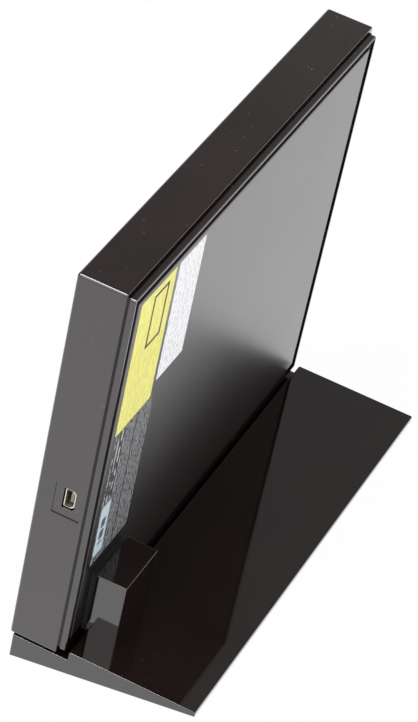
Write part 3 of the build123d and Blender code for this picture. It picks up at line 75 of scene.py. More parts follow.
room = bpy.data.worlds.new("pale_room")
bpy.context.scene.world = room
room.use_nodes = True
room_nodes, room_links = room.node_tree.nodes, room.node_tree.links
room_out = room_nodes["World Output"]
room_fill = room_nodes["Background"]
room_fill.inputs["Color"].default_value = (0.62, 0.62, 0.62, 1)
room_place = room_nodes.new("ShaderNodeTexCoord")
room_axes = room_nodes.new("ShaderNodeSeparateXYZ")
room_tone = room_nodes.new("ShaderNodeValToRGB")
room_tone.color_ramp.elements[0].position = 0.02
room_tone.color_ramp.elements[0].color = (1, 1, 1, 1)
room_tone.color_ramp.elements[1].position = 0.6
room_tone.color_ramp.elements[1].color = (0.175, 0.175, 0.175, 1)
room_mirror = room_nodes.new("ShaderNodeBackground")
room_white = room_nodes.new("ShaderNodeBackground")
room_white.inputs["Color"].default_value = (1, 1, 1, 1)
room_ray = room_nodes.new("ShaderNodeLightPath")
room_glossy = room_nodes.new("ShaderNodeMixShader")
room_camera = room_nodes.new("ShaderNodeMixShader")
room_links.new(room_place.outputs["Generated"], room_axes.inputs[0])
room_links.new(room_axes.outputs["Z"], room_tone.inputs["Fac"])
room_side = room_nodes.new("ShaderNodeMapRange")
room_side.interpolation_type = "SMOOTHSTEP"
room_side.inputs["From Min"].default_value = 0.0
room_side.inputs["From Max"].default_value = 0.3
room_side.inputs["To Min"].default_value = 1.0
room_side.inputs["To Max"].default_value = 0.2
room_links.new(room_axes.outputs["X"], room_side.inputs["Value"])
room_low = room_nodes.new("ShaderNodeMapRange")
room_low.inputs["From Min"].default_value = 0.1
room_low.inputs["From Max"].default_value = 0.4
room_links.new(room_axes.outputs["Z"], room_low.inputs["Value"])
room_dim = room_nodes.new("ShaderNodeMix")
room_dim.inputs["A"].default_value = 1.0
room_links.new(room_low.outputs["Result"], room_dim.inputs["Factor"])
room_links.new(room_side.outputs["Result"], room_dim.inputs["B"])
room_links.new(room_tone.outputs["Color"], room_mirror.inputs["Color"])
room_links.new(room_dim.outputs["Result"], room_mirror.inputs["Strength"])
room_links.new(room_ray.outputs["Is Glossy Ray"], room_glossy.inputs["Fac"])
room_links.new(room_fill.outputs[0], room_glossy.inputs[1])
room_links.new(room_mirror.outputs[0], room_glossy.inputs[2])
room_links.new(room_ray.outputs["Is Camera Ray"], room_camera.inputs["Fac"])
room_links.new(room_glossy.outputs[0], room_camera.inputs[1])
room_links.new(room_white.outputs[0], room_camera.inputs[2])
room_links.new(room_camera.outputs[0], room_out.inputs["Surface"])


def soft_lamp(name, place, size, power):
    """A square soft lamp that faces the middle of the drive."""
    aim = Vector((0, 0, 0.08)) - Vector(place)
    facing = aim.to_track_quat("-Z", "Y").to_euler()
    bpy.ops.object.light_add(type="AREA", location=place, rotation=facing)
    lamp = bpy.context.object
    lamp.name = name
    lamp.data.size = size
    lamp.data.energy = power


soft_lamp("front_lamp", (-0.23, -1.15, 1.57), size=1.6, power=17)
soft_lamp("right_lamp", (1.5, -0.2, 0.7), size=0.9, power=8)
soft_lamp("top_lamp", (-0.165, -0.32, 1.53), size=0.3, power=4)

photo_height = 722
focal_pixels = 3151.82
sensor_height = 24
bpy.ops.object.camera_add(
    location=(0.364133, -0.810650, 0.697984),
    rotation=(radians(54.8972), radians(-1.3497), radians(25.5738)),
)
photo_camera = bpy.context.object
photo_camera.name = "photo_camera"
photo_camera.data.sensor_fit = "VERTICAL"
photo_camera.data.sensor_height = sensor_height
photo_camera.data.lens = focal_pixels * sensor_height / photo_height
photo_camera.data.clip_start = 0.01
bpy.context.scene.camera = photo_camera
bpy.context.scene.view_settings.view_transform = "Standard"

# The stand's wedge: one glossy black moulding in polished ABS. Its skin has the faint waves of
# moulded plastic and a little dust, and its gloss is that of a high-index clear skin.


def dress(node, material):
    """Gives a CAD node its finish."""
    for place in nodes[node].material_slots:
        place.material = material


def fresh_material(name):
    """A new material with its shader and the piece's own place in metres."""
    material = bpy.data.materials.new(name)
    material.use_nodes = True
    tree = material.node_tree
    place = tree.nodes.new("ShaderNodeTexCoord")
    return material, tree, tree.nodes["Principled BSDF"], place.outputs["Object"]


def noise(tree, place, scale, detail=2.0, stretch=None):
    """Noise over a piece, its grains 1/scale metres wide, stretched along an axis if asked."""
    if stretch:
        turn = tree.nodes.new("ShaderNodeMapping")
        turn.inputs["Scale"].default_value = stretch
        tree.links.new(place, turn.inputs["Vector"])
        place = turn.outputs["Vector"]
    grain = tree.nodes.new("ShaderNodeTexNoise")
    grain.inputs["Scale"].default_value = scale
    grain.inputs["Detail"].default_value = detail
    tree.links.new(place, grain.inputs["Vector"])
    return grain.outputs["Fac"]


def tones(tree, value, low, high, start=0.35, end=0.65):
    """Two colours along a value, and what lies between them."""
    ramp = tree.nodes.new("ShaderNodeValToRGB")
    ramp.color_ramp.elements[0].position = start
    ramp.color_ramp.elements[0].color = (*low, 1)
    ramp.color_ramp.elements[1].position = end
    ramp.color_ramp.elements[1].color = (*high, 1)
    tree.links.new(value, ramp.inputs["Fac"])
    return ramp.outputs["Color"]


def between(tree, value, low, high, start=0.3, end=0.7):
    """A value turned into a number between two limits."""
    span = tree.nodes.new("ShaderNodeMapRange")
    span.inputs["From Min"].default_value = start
    span.inputs["From Max"].default_value = end
    span.inputs["To Min"].default_value = low
    span.inputs["To Max"].default_value = high
    tree.links.new(value, span.inputs["Value"])
    return span.outputs["Result"]


def relief(tree, shader, height, depth):
    """Raises the surface by a height value, depth metres at most."""
    bump = tree.nodes.new("ShaderNodeBump")
    bump.inputs["Distance"].default_value = depth
    tree.links.new(height, bump.inputs["Height"])
    tree.links.new(bump.outputs["Normal"], shader.inputs["Normal"])


def overlaid(tree, share, base, colour):
    """A colour laid over a base colour by a share."""
    layer = tree.nodes.new("ShaderNodeMix")
    layer.data_type = "RGBA"
    layer.inputs["B"].default_value = (*colour, 1)
    tree.links.new(share, layer.inputs["Factor"])
    tree.links.new(base, layer.inputs["A"])
    return layer.outputs["Result"]


def shade(colour, share):
    """A colour made darker or lighter by a share."""
    return tuple(min(1, part * share) for part in colour)


def gloss_plastic(name, colour, roughness, dust=0.0, wave=0.000004, uneven=0.2):
    """Polished plastic under a clear skin: slow waves, some dust, and roughness that wanders.

    dust is the strength of the specks, wave the height of the waves, and uneven the share by
    which the roughness wanders.
    """
    material, tree, shader, place = fresh_material(name)
    shader.inputs["IOR"].default_value = 1.6
    shader.inputs["Coat Weight"].default_value = 1.0
    shader.inputs["Coat IOR"].default_value = 1.6
    shader.inputs["Coat Roughness"].default_value = roughness
    wander = noise(tree, place, 30, 3)
    base = tones(tree, wander, shade(colour, 0.85), shade(colour, 1.15))
    wandering = between(tree, wander, roughness * (1 - uneven), roughness * (1 + uneven))
    tree.links.new(wandering, shader.inputs["Roughness"])
    if dust:
        specks = between(tree, noise(tree, place, 900, 1), 0, dust, 0.74, 0.80)
        base = overlaid(tree, specks, base, (0.35, 0.34, 0.33))
    tree.links.new(base, shader.inputs["Base Color"])
    relief(tree, shader, noise(tree, place, 70, 1), wave)
    return material


def moulded_plastic(name, colour, roughness=0.45, grain=2600, depth=0.00001, ior=1.5):
    """Plastic from a spark-eroded mould: a fine even grain, and a colour that wanders slightly."""
    material, tree, shader, place = fresh_material(name)
    shader.inputs["IOR"].default_value = ior
    wander = noise(tree, place, 40, 3)
    base = tones(tree, wander, shade(colour, 0.88), shade(colour, 1.12))
    dullness = between(tree, wander, roughness * 0.9, roughness * 1.1)
    tree.links.new(base, shader.inputs["Base Color"])
    tree.links.new(dullness, shader.inputs["Roughness"])
    relief(tree, shader, noise(tree, place, grain, 2), depth)
    return material


def rubber(name, colour):
    """Soft matt rubber with fine pores and a pale bloom."""
    material, tree, shader, place = fresh_material(name)
    shader.inputs["IOR"].default_value = 1.45
    bloom = noise(tree, place, 120, 4)
    base = tones(tree, bloom, shade(colour, 0.8), shade(colour, 1.5))
    tree.links.new(base, shader.inputs["Base Color"])
    tree.links.new(between(tree, bloom, 0.7, 0.9), shader.inputs["Roughness"])
    relief(tree, shader, noise(tree, place, 3000, 2), 0.00003)
    return material


def rolled_steel(name, colour, roughness=0.3, along=(1, 1, 1), scale=600, depth=0.000004):
    """Bare metal: fine lines along its rolling or grinding direction, and slight stains."""
    material, tree, shader, place = fresh_material(name)
    shader.inputs["Metallic"].default_value = 1.0
    stain = noise(tree, place, 45, 3)
    base = tones(tree, stain, shade(colour, 0.86), shade(colour, 1.06))
    tree.links.new(base, shader.inputs["Base Color"])
    lines = noise(tree, place, scale, 3, along)
    dullness = between(tree, lines, roughness * 0.75, roughness * 1.3)
    tree.links.new(dullness, shader.inputs["Roughness"])
    relief(tree, shader, lines, depth)
    return material


polished_black = (0.0088, 0.0044, 0.0040)
dress("stand_wedge", gloss_plastic("stand_gloss_black", polished_black, 0.045, dust=0.12))

# The underside plate: matt black ABS from a spark-eroded mould, which closes the hollow wedge
# and carries the feet. It is let into the wedge's mouth and held by four screws.
dress("stand_base_plate", moulded_plastic("base_plate_black", (0.020, 0.019, 0.019), 0.5))

# The four screws of the underside plate: pan heads in zinc-plated steel with a cross recess,
# turned up into bosses of the wedge.


def pick_faces(piece, wanted):
    """Opens a piece in edit mode with only the wanted faces selected, by centre and normal."""
    bpy.ops.object.mode_set(mode="EDIT")
    bpy.ops.mesh.select_mode(type="FACE")
    bpy.ops.mesh.select_all(action="DESELECT")
    bpy.ops.object.mode_set(mode="OBJECT")
    for face in piece.data.polygons:
        face.select = wanted(face.center, face.normal)
    bpy.ops.object.mode_set(mode="EDIT")


def only(piece):
    """Selects one piece and makes it the active one."""
    bpy.ops.object.select_all(action="DESELECT")
    piece.select_set(True)
    bpy.context.view_layer.objects.active = piece


def place_in(piece, pose):
    """Takes a piece drawn in a flat frame to that frame's pose, with its place in its mesh."""
    only(piece)
    piece.matrix_world = pose @ piece.matrix_world
    bpy.ops.object.transform_apply(location=True, rotation=True, scale=True)


def cut_away(piece, cutter):
    """Cuts one piece by another, which is then thrown away."""
    cut = piece.modifiers.new("cut", "BOOLEAN")
    cut.operation = "DIFFERENCE"
    cut.object = cutter
    only(piece)
    bpy.ops.object.modifier_apply(modifier="cut")
    bpy.data.objects.remove(cutter, do_unlink=True)


def cross_screw(name, head_radius, head_height, shank_radius, length, material):
    """A pan-head screw with a cross recess, its head's face at the origin and its shank up."""
    bpy.ops.object.select_all(action="DESELECT")
    bpy.ops.mesh.primitive_cylinder_add(
        vertices=28, radius=head_radius, depth=head_height, location=(0, 0, head_height / 2)
    )
    screw = bpy.context.object
    screw.name = name
    bpy.ops.object.transform_apply(location=True, rotation=True, scale=True)
    pick_faces(screw, lambda centre, normal: normal.z > 0.9)
    bpy.ops.mesh.inset(thickness=head_radius - shank_radius)
    bpy.ops.mesh.extrude_region_move(TRANSFORM_OT_translate={"value": (0, 0, length - head_height)})
    bpy.ops.object.mode_set(mode="OBJECT")
    pick_faces(screw, lambda centre, normal: normal.z < -0.9)
    bpy.ops.mesh.bevel(offset=head_height * 0.4, segments=3, affect="EDGES")
    bpy.ops.object.mode_set(mode="OBJECT")
    for turn in (0, pi / 2):
        bpy.ops.object.select_all(action="DESELECT")
        bpy.ops.mesh.primitive_cube_add(size=1, rotation=(0, 0, turn))
        blade = bpy.context.object
        blade.scale = (head_radius * 1.15, head_radius * 0.26, head_height * 1.1)
        cut_away(screw, blade)
    bpy.ops.object.shade_smooth_by_angle(angle=radians(35))
    screw.data.materials.clear()
    screw.data.materials.append(material)
    return screw


def set_copies(pattern, poses, body, node=None):
    """Sets a copy of a pattern piece at each pose, in place of a CAD node where one is named."""
    for number, pose in enumerate(poses, 1):
        only(pattern)
        bpy.ops.object.duplicate(linked=False)
        piece = bpy.context.object
        piece.name = f"{pattern.name}_{number}"
        place_in(piece, pose)
        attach(piece, body)
        if node:
            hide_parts(node)
    bpy.data.objects.remove(pattern, do_unlink=True)


screw_zinc = rolled_steel("screw_zinc", (0.60, 0.60, 0.57), 0.32, scale=1800)
plate_screw = cross_screw(
    "plate_screw", head_radius=0.002, head_height=0.001, shank_radius=0.001, length=0.0045,
    material=screw_zinc,
)
plate_face = 0.0004
set_copies(
    plate_screw,
    [Matrix.Translation((x, y, plate_face)) for x in (-0.015, 0.0) for y in (-0.0757, 0.0721)],
    "stand", "stand_plate_screws",
)

# Four round feet of black rubber, glued into shallow seats in the underside. They are matt
# and finely pored, and carry the whole weight.
dress("stand_feet", rubber("foot_rubber", (0.022, 0.022, 0.022)))

# Two strips of soft foam rubber on the seat, on which the drive's long edge stands, and the pad
# of the same foam on the post, which bears on the drive's underside. They are stuck on.
soft_foam = rubber("soft_foam_black", (0.018, 0.017, 0.017))
dress("seat_pads", soft_foam)
dress("post_pad", soft_foam)

# The retainer post: a short hollow pillar moulded in the same black ABS as the wedge and just
# as polished, drawn down on the wedge by two screws from inside. It keeps the drive upright.
dress("retainer_post", gloss_plastic("post_gloss_black", polished_black, 0.05, dust=0.06))
dress("post_screws", screw_zinc)

# The drive's housing halves: black ABS with a brown cast under a slightly wavy lacquer. The
# upper one makes the cover and four sides, the lower one the rim that carries the panel. The
# drive's flat frame has x up the leaning drive, y from its rear face and z from the rim inwards.
drive_frame = Matrix((
    (0.1659082, 0, -0.9861412, -0.0016036),
    (0, 1, 0, -0.0957),
    (0.9861412, 0, 0.1659082, 0.0837730),
    (0, 0, 0, 1),
))
housing_lacquer = gloss_plastic(
    "housing_lacquer", (0.0105, 0.0035, 0.0035), 0.12, dust=0.30, wave=0.000003,
)
dress("upper_housing", housing_lacquer)
dress("lower_housing", housing_lacquer)
dress("housing_screws", screw_zinc)

# The underside panel: a black sheet with a rounded edge, stuck in the rim of the lower housing
# with a groove 3 mm wide around it. Its satin lacquer shines softly under a low view.
panel_satin = gloss_plastic(
    "panel_satin", (0.0075, 0.0040, 0.0040), 0.37, wave=0.000001, uneven=0.04,
)
panel_half, panel_near, panel_far = 0.0722, 0.0047, 0.1848
panel_face, panel_back = 0.00005, 0.00115
panel_round, panel_drop = 0.0014, 0.0003
flatten = panel_drop / panel_round
drawn_depth = (panel_back - panel_face) / flatten
bpy.ops.object.select_all(action="DESELECT")
bpy.ops.mesh.primitive_cube_add(
    size=1, location=(0, (panel_near + panel_far) / 2, drawn_depth / 2)
)
panel = bpy.context.object
panel.name = "panel_sheet"
panel.scale = (2 * panel_half, panel_far - panel_near, drawn_depth)
bpy.ops.object.transform_apply(location=True, rotation=True, scale=True)
pick_faces(panel, lambda centre, normal: normal.z < -0.9)
bpy.ops.mesh.bevel(offset=panel_round, segments=8, affect="EDGES")
bpy.ops.object.mode_set(mode="OBJECT")
panel.scale = (1, 1, flatten)
panel.location.z = panel_face
place_in(panel, drive_frame)
bpy.ops.object.shade_smooth_by_angle(angle=radians(20))
panel.data.materials.append(panel_satin)
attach(panel, "drive")
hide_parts("underside_panel")

# Three rating stickers on the panel: one of yellow film with a plain ruled box, one of white
# paper, and one of dark film with a pale blue strip. Their faces carry only plain ruled lines.


def in_frame(tree, place, pose):
    """The place on a piece, read in one of the object's flat frames."""
    flat = tree.nodes.new("ShaderNodeMapping")
    inverse = pose.inverted()
    flat.inputs["Rotation"].default_value = inverse.to_euler()
    flat.inputs["Location"].default_value = inverse.translation
    tree.links.new(place, flat.inputs["Vector"])
    return flat.outputs["Vector"]


def bands(tree, flat, axis, scale):
    """Even bands across one axis of a flat frame."""
    wave = tree.nodes.new("ShaderNodeTexWave")
    wave.bands_direction = axis
    wave.inputs["Scale"].default_value = scale
    tree.links.new(flat, wave.inputs["Vector"])
    return wave.outputs["Fac"]


def sticker(name, across_from, across_to, near, far, material, level=0.0, thickness=0.00008):
    """A thin sheet stuck on the panel, given by its limits in the drive's frame, in metres."""
    bpy.ops.object.select_all(action="DESELECT")
    bpy.ops.mesh.primitive_plane_add(size=1, rotation=(pi, 0, 0))
    sheet = bpy.context.object
    sheet.name = name
    sheet.scale = (across_to - across_from, far - near, 1)
    bpy.ops.object.transform_apply(location=True, rotation=True, scale=True)
    bpy.ops.object.mode_set(mode="EDIT")
    bpy.ops.mesh.select_all(action="SELECT")
    corner = min(corner_round, (far - near) / 4, (across_to - across_from) / 4)
    bpy.ops.mesh.bevel(offset=corner, segments=4, affect="VERTICES")
    bpy.ops.mesh.extrude_region_move(TRANSFORM_OT_translate={"value": (0, 0, -thickness)})
    bpy.ops.mesh.select_all(action="SELECT")
    bpy.ops.mesh.normals_make_consistent(inside=False)
    bpy.ops.object.mode_set(mode="OBJECT")
    sheet.location = ((across_from + across_to) / 2, (near + far) / 2, panel_face - level)
    place_in(sheet, drive_frame)
    sheet.data.materials.append(material)
    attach(sheet, "drive")


def ruled_film(name, ground, ink, pitch, strength, roughness, bar=0.0038, gap=0.55):
    """Printed film: plain ruled rows in the drive's frame, broken into bars of uneven length.

    pitch is the distance between rows and bar the length of a bar, in metres. strength is the
    ink's, and a higher gap leaves more of a row bare.
    """
    material, tree, shader, place = fresh_material(name)
    shader.inputs["IOR"].default_value = 1.5
    shader.inputs["Roughness"].default_value = roughness
    flat = in_frame(tree, place, drive_frame)
    waves_per_unit = 20 / (2 * pi)
    rows = bands(tree, flat, "Y", 1 / (pitch * waves_per_unit))
    bars = noise(tree, flat, 1, 1, (1 / bar, 1 / pitch, 1))
    row_ink = between(tree, rows, 0, 1, 0.5, 0.7)
    bar_ink = between(tree, bars, 0, 1, gap - 0.05, gap + 0.02)
    both = tree.nodes.new("ShaderNodeMath")
    both.operation = "MULTIPLY"
    tree.links.new(row_ink, both.inputs[0])
    tree.links.new(bar_ink, both.inputs[1])
    share = between(tree, both.outputs[0], 0, strength, 0, 1)
    paper = tones(tree, noise(tree, place, 60, 2), shade(ground, 0.95), ground)
    tree.links.new(overlaid(tree, share, paper, ink), shader.inputs["Base Color"])
    relief(tree, shader, noise(tree, place, 900, 2), 0.000002)
    return material


corner_round = 0.0006
dark_ground = (0.060, 0.057, 0.058)
yellow_film = ruled_film(
    "yellow_film", (0.93, 0.88, 0.23), (0.50, 0.48, 0.16),
    pitch=0.0014, strength=0.45, roughness=0.5, bar=0.0034, gap=0.52,
)
white_paper = ruled_film(
    "white_paper", (0.94, 0.94, 0.97), (0.30, 0.30, 0.36),
    pitch=0.0014, strength=0.55, roughness=0.6, bar=0.0016, gap=0.56,
)
dark_film = ruled_film(
    "dark_film", dark_ground, (0.50, 0.52, 0.55),
    pitch=0.0010, strength=0.80, roughness=0.35, bar=0.0016, gap=0.43,
)
column_film = ruled_film(
    "column_film", dark_ground, (0.62, 0.64, 0.67),
    pitch=0.0024, strength=0.85, roughness=0.35, bar=0.0030, gap=0.50,
)
blue_film = ruled_film(
    "pale_blue_film", (0.56, 0.68, 0.74), (0.46, 0.58, 0.64),
    pitch=0.0011, strength=0.3, roughness=0.45,
)
line_ink = moulded_plastic("sticker_line_ink", (0.060, 0.055, 0.022), 0.6, 1500, 0.000001)
mark_ink = moulded_plastic("sticker_mark_ink", (0.075, 0.090, 0.100), 0.6, 1500, 0.000001)
print_level, print_over, print_thick = 0.00008, 0.00011, 0.00003
sticker("yellow_sticker", 0.0161, 0.0706, 0.0070, 0.0319, yellow_film)
sticker("white_sticker", 0.0216, 0.0704, 0.0342, 0.0533, white_paper)
sticker("dark_sticker", -0.0419, 0.0159, 0.0083, 0.0347, dark_film)
for name, limits, film in (
    ("dark_sticker_column", (-0.0149, 0.0153, 0.0085, 0.0155), column_film),
    ("dark_sticker_gap", (-0.0414, 0.0155, 0.0233, 0.0239), mark_ink),
    ("blue_strip", (-0.0386, -0.0164, 0.0088, 0.0153), blue_film),
):
    sticker(name, *limits, film, print_level, print_thick)
mark_spans = ((-0.0340, -0.0331), (-0.0318, -0.0278), (-0.0266, -0.0226))
for number, (low, high) in enumerate(mark_spans, 1):
    name = f"blue_strip_mark_{number}"
    sticker(name, low, high, 0.0106, 0.0137, mark_ink, print_over, print_thick)
for side, limits in enumerate((
    (0.0461, 0.0677, 0.0170, 0.0181),
    (0.0461, 0.0677, 0.0266, 0.0277),
    (0.0461, 0.0472, 0.0170, 0.0277),
    (0.0666, 0.0677, 0.0170, 0.0277),
), 1):
    sticker(f"box_line_{side}", *limits, line_ink, print_level, print_thick)

# The mini-USB socket: a shell of tin-plated steel strip, bright at its rim and brown and dull
# inside, and in it a black nylon tongue with five pale contacts that are folded over its end.
# It is soldered to the bridge board behind.
bright_tin, dull_tin = (0.80, 0.77, 0.72), (0.23, 0.18, 0.12)
rim_y, dull_y = -0.0944, -0.0938
dull_metallic = 0.1
socket_tin = rolled_steel("socket_tin", bright_tin, 0.22, scale=1500)
tin_tree = socket_tin.node_tree
tin_place = tin_tree.nodes.new("ShaderNodeTexCoord")
tin_axes = tin_tree.nodes.new("ShaderNodeSeparateXYZ")
tin_tree.links.new(tin_place.outputs["Object"], tin_axes.inputs[0])
tin_shader = tin_tree.nodes["Principled BSDF"]
brightness = between(tin_tree, tin_axes.outputs["Y"], 1.0, dull_metallic, rim_y, dull_y)
tin_tree.links.new(brightness, tin_shader.inputs["Metallic"])
tin_tree.links.new(
    tones(tin_tree, brightness, dull_tin, bright_tin, dull_metallic, 1.0),
    tin_shader.inputs["Base Color"],
)
dress("usb_shell", socket_tin)
dress("usb_tongue", moulded_plastic("socket_nylon", (0.018, 0.016, 0.014), 0.45, 3000, 0.000005))
contact_width, contact_length, contact_thick = 0.00042, 0.0060, 0.0001
contact_pitch, contact_drop = 0.0008, 0.00102
contact_middle = (-0.01085, 0.0052, 0.00882)
contact_gold = rolled_steel("contact_gold", (0.50, 0.46, 0.40), 0.30, scale=2500)
bpy.ops.object.select_all(action="DESELECT")
bpy.ops.mesh.primitive_cube_add(size=1)
contact = bpy.context.object
contact.name = "socket_contact"
contact.scale = (contact_width, contact_length, contact_thick)
bpy.ops.object.transform_apply(location=True, rotation=True, scale=True)
pick_faces(contact, lambda centre, normal: normal.z > 0.9)
bpy.ops.mesh.bevel(offset=0.00003, segments=2, affect="EDGES")
bpy.ops.object.mode_set(mode="OBJECT")
pick_faces(contact, lambda centre, normal: normal.y < -0.9)
bpy.ops.mesh.extrude_region_move(TRANSFORM_OT_translate={"value": (0, -contact_thick, 0)})
bpy.ops.object.mode_set(mode="OBJECT")
pick_faces(
    contact, lambda centre, normal: normal.z < -0.9 and centre.y < -contact_length / 2
)
bpy.ops.mesh.extrude_region_move(TRANSFORM_OT_translate={"value": (0, 0, -contact_drop)})
bpy.ops.object.mode_set(mode="OBJECT")
contact.data.materials.append(contact_gold)
set_copies(
    contact,
    [drive_frame @ Matrix.Translation(contact_middle)
     @ Matrix.Translation((step * contact_pitch, 0, 0)) for step in (-2, -1, 0, 1, 2)],
    "drive",
)

# The bridge board between the socket and the drive module: green glass-epoxy with copper
# tracks under the mask, black epoxy chips and two capacitors, on four standoffs with screws.


def circuit_board(name, mask, tracks):
    """Solder mask with slightly raised tracks that run along and across, and tinned dots."""
    material, tree, shader, place = fresh_material(name)
    shader.inputs["IOR"].default_value = 1.55
    shader.inputs["Roughness"].default_value = 0.3
    flat = in_frame(tree, place, drive_frame)
    routes = tree.nodes.new("ShaderNodeTexVoronoi")
    routes.distance = "CHEBYCHEV"
    routes.feature = "F2"
    routes.inputs["Scale"].default_value = 260
    tree.links.new(flat, routes.inputs["Vector"])
    track = between(tree, routes.outputs["Distance"], 0, 1, 0.42, 0.46)
    dots = tree.nodes.new("ShaderNodeTexVoronoi")
    dots.inputs["Scale"].default_value = 330
    tree.links.new(flat, dots.inputs["Vector"])
    dot = between(tree, dots.outputs["Distance"], 1, 0, 0.12, 0.16)
    green = tones(tree, track, mask, tracks, 0.4, 0.6)
    tinned = overlaid(tree, dot, green, (0.62, 0.62, 0.58))
    tree.links.new(tinned, shader.inputs["Base Color"])
    relief(tree, shader, track, 0.00002)
    return material


green_board = circuit_board("board_green_mask", (0.008, 0.085, 0.030), (0.020, 0.150, 0.050))
black_epoxy = moulded_plastic("chip_epoxy_black", (0.018, 0.018, 0.019), 0.4, 4000, 0.000006)
dress("bridge_board", green_board)
dress("board_chips", black_epoxy)
dress("board_screws", screw_zinc)

# The plug of the bridge board, the socket that it goes into and the module's own board behind
# it: black nylon housings, and the same green board.
connector_nylon = moulded_plastic("connector_nylon", (0.016, 0.016, 0.017), 0.4, 2500, 0.000006)
dress("sata_plug", connector_nylon)
dress("sata_socket", connector_nylon)
dress("module_board", green_board)

# The slim drive module's chassis and cover: folded from electro-galvanised steel sheet, which
# keeps its fine rolling lines, and screwed between four lugs of the lower housing.
sheet_zinc = rolled_steel("sheet_zinc", (0.66, 0.67, 0.67), 0.34, (400, 8, 400), 1, 0.000003)
dress("module_chassis", sheet_zinc)
dress("module_cover", sheet_zinc)
dress("module_screws", screw_zinc)
dress("latch_pin", rolled_steel("pin_steel", (0.70, 0.70, 0.70), 0.2, scale=2200))

# The tray's telescopic rails: bright steel strips with oblong slots, greased, which run in
# grooves of two white acetal guides.
dress("rail_guides", moulded_plastic("guide_acetal", (0.72, 0.71, 0.66), 0.38, 1800, 0.000006))
rail_steel = rolled_steel("rail_steel", (0.72, 0.72, 0.72), 0.22, (500, 6, 500), 1, 0.000002)
dress("rail_upper", rail_steel)
dress("rail_lower", rail_steel)

# The flat cable between the module's board and the tray: thin polyester with parallel copper
# lines that show through, folded back on itself under the tray.
cable_film, film_tree, film_shader, film_place = fresh_material("cable_film")
film_shader.inputs["IOR"].default_value = 1.55
film_shader.inputs["Roughness"].default_value = 0.28
film_lines = bands(film_tree, in_frame(film_tree, film_place, drive_frame), "X", 314)
film_tree.links.new(
    tones(film_tree, film_lines, (0.70, 0.71, 0.72), (0.46, 0.42, 0.34), 0.45, 0.6),
    film_shader.inputs["Base Color"],
)
relief(film_tree, film_shader, film_lines, 0.00003)
dress("flat_cable", cable_film)

# The disc tray: glass-filled black ABS from a spark-eroded mould, with a shallow recess for the
# disc, and its front bezel in polished black ABS, clipped over the tray's front wall.
dress("tray", moulded_plastic("tray_abs_black", (0.022, 0.022, 0.023), 0.46, 3200, 0.000014))
bezel_gloss = gloss_plastic("bezel_gloss_black", (0.0120, 0.0105, 0.0105), 0.16, dust=0.05)
dress("tray_bezel", bezel_gloss)

# The tray's sheet-metal shield and its four screws: nickel-plated steel under the tray, which
# keeps the electronics clean and carries the traverse.
shield_nickel = rolled_steel(
    "shield_nickel", (0.64, 0.64, 0.62), 0.30, (10, 420, 420), 1, 0.000003,
)
dress("tray_shield", shield_nickel)
screw_face = 0.00655
shield_screw = cross_screw(
    "shield_screw", head_radius=0.0015, head_height=0.0004, shank_radius=0.0008,
    length=0.00335, material=screw_zinc,
)
set_copies(
    shield_screw,
    [drive_frame @ Matrix.Translation((x, y, screw_face))
     for x in (-0.0569, 0.0569) for y in (0.0829, 0.1817)],
    "tray", "tray_screws",
)

# The traverse: a zinc die casting with a sand-like skin, hung on three rubber dampers by
# shouldered screws. It runs from the disc's middle to a front corner of the tray, and its flat
# frame has the spindle through its origin and x along the sled's way.
traverse_frame = Matrix((
    (0.1173148, -0.1173148, -0.9861412, -0.0016036),
    (0.7071068, 0.7071068, 0, 0.0281),
    (0.6973071, -0.6973071, 0.1659082, 0.0837730),
    (0, 0, 0, 1),
))
zinc_cast, cast_tree, cast_shader, cast_place = fresh_material("zinc_casting")
cast_shader.inputs["Metallic"].default_value = 1.0
cast_skin = noise(cast_tree, cast_place, 2200, 3)
cast_stain = noise(cast_tree, cast_place, 110, 3)
cast_tree.links.new(
    tones(cast_tree, cast_stain, (0.42, 0.42, 0.43), (0.56, 0.56, 0.57)),
    cast_shader.inputs["Base Color"],
)
cast_tree.links.new(between(cast_tree, cast_skin, 0.42, 0.62), cast_shader.inputs["Roughness"])
relief(cast_tree, cast_shader, cast_skin, 0.000025)
dress("traverse_frame", zinc_cast)
dress("damper_bushes", rubber("damper_rubber", (0.020, 0.020, 0.020)))
damper_screw = cross_screw(
    "damper_screw", head_radius=0.0015, head_height=0.0005, shank_radius=0.0008,
    length=0.00565, material=screw_zinc,
)
set_copies(
    damper_screw,
    [traverse_frame @ Matrix.Translation((x, y, screw_face))
     for x, y in ((-0.017, 0.019), (0.053, 0.0204), (-0.017, -0.019))],
    "tray", "damper_screws",
)

# The sled's two guide rods and its stepping motor: ground stainless rods, and a small can of
# nickel-plated steel at the head of the lead screw.
along_rods = rolled_steel("ground_stainless", (0.78, 0.78, 0.78), 0.10, scale=1600, depth=0.000001)
dress("guide_rods", along_rods)
motor_can = rolled_steel("motor_can_nickel", (0.62, 0.61, 0.58), 0.26, scale=900, depth=0.000003)
dress("sled_motor", motor_can)

# The lead screw: a ground steel rod with a rolled thread of 3 mm lead, which turns in the
# motor and in an end bearing of the traverse. Its thread is wound here as a helix.
thread_lead, thread_turns, thread_sides = 0.003, 18, 8
thread_radius, thread_path = 0.00036, 0.00078
core_radius, core_length, core_middle = 0.0008, 0.0563, 0.02805
pivot_step, top_pivot, foot_pivot = 0.0002, 0.0019, 0.0022
screw_start = (0.0021, -0.019, 0.0096)
bpy.ops.object.select_all(action="DESELECT")
bpy.ops.mesh.primitive_circle_add(
    vertices=thread_sides, radius=thread_radius, location=(thread_path, 0, 0),
    rotation=(pi / 2, 0, 0),
)
thread = bpy.context.object
thread.name = "lead_screw_thread"
thread.scale = (0.6, 1, 1)
bpy.ops.object.transform_apply(location=True, rotation=True, scale=True)
winding = thread.modifiers.new("winding", "SCREW")
winding.axis = "Z"
winding.screw_offset = thread_lead
winding.iterations = thread_turns
winding.steps = winding.render_steps = 20
winding.use_merge_vertices = False
only(thread)
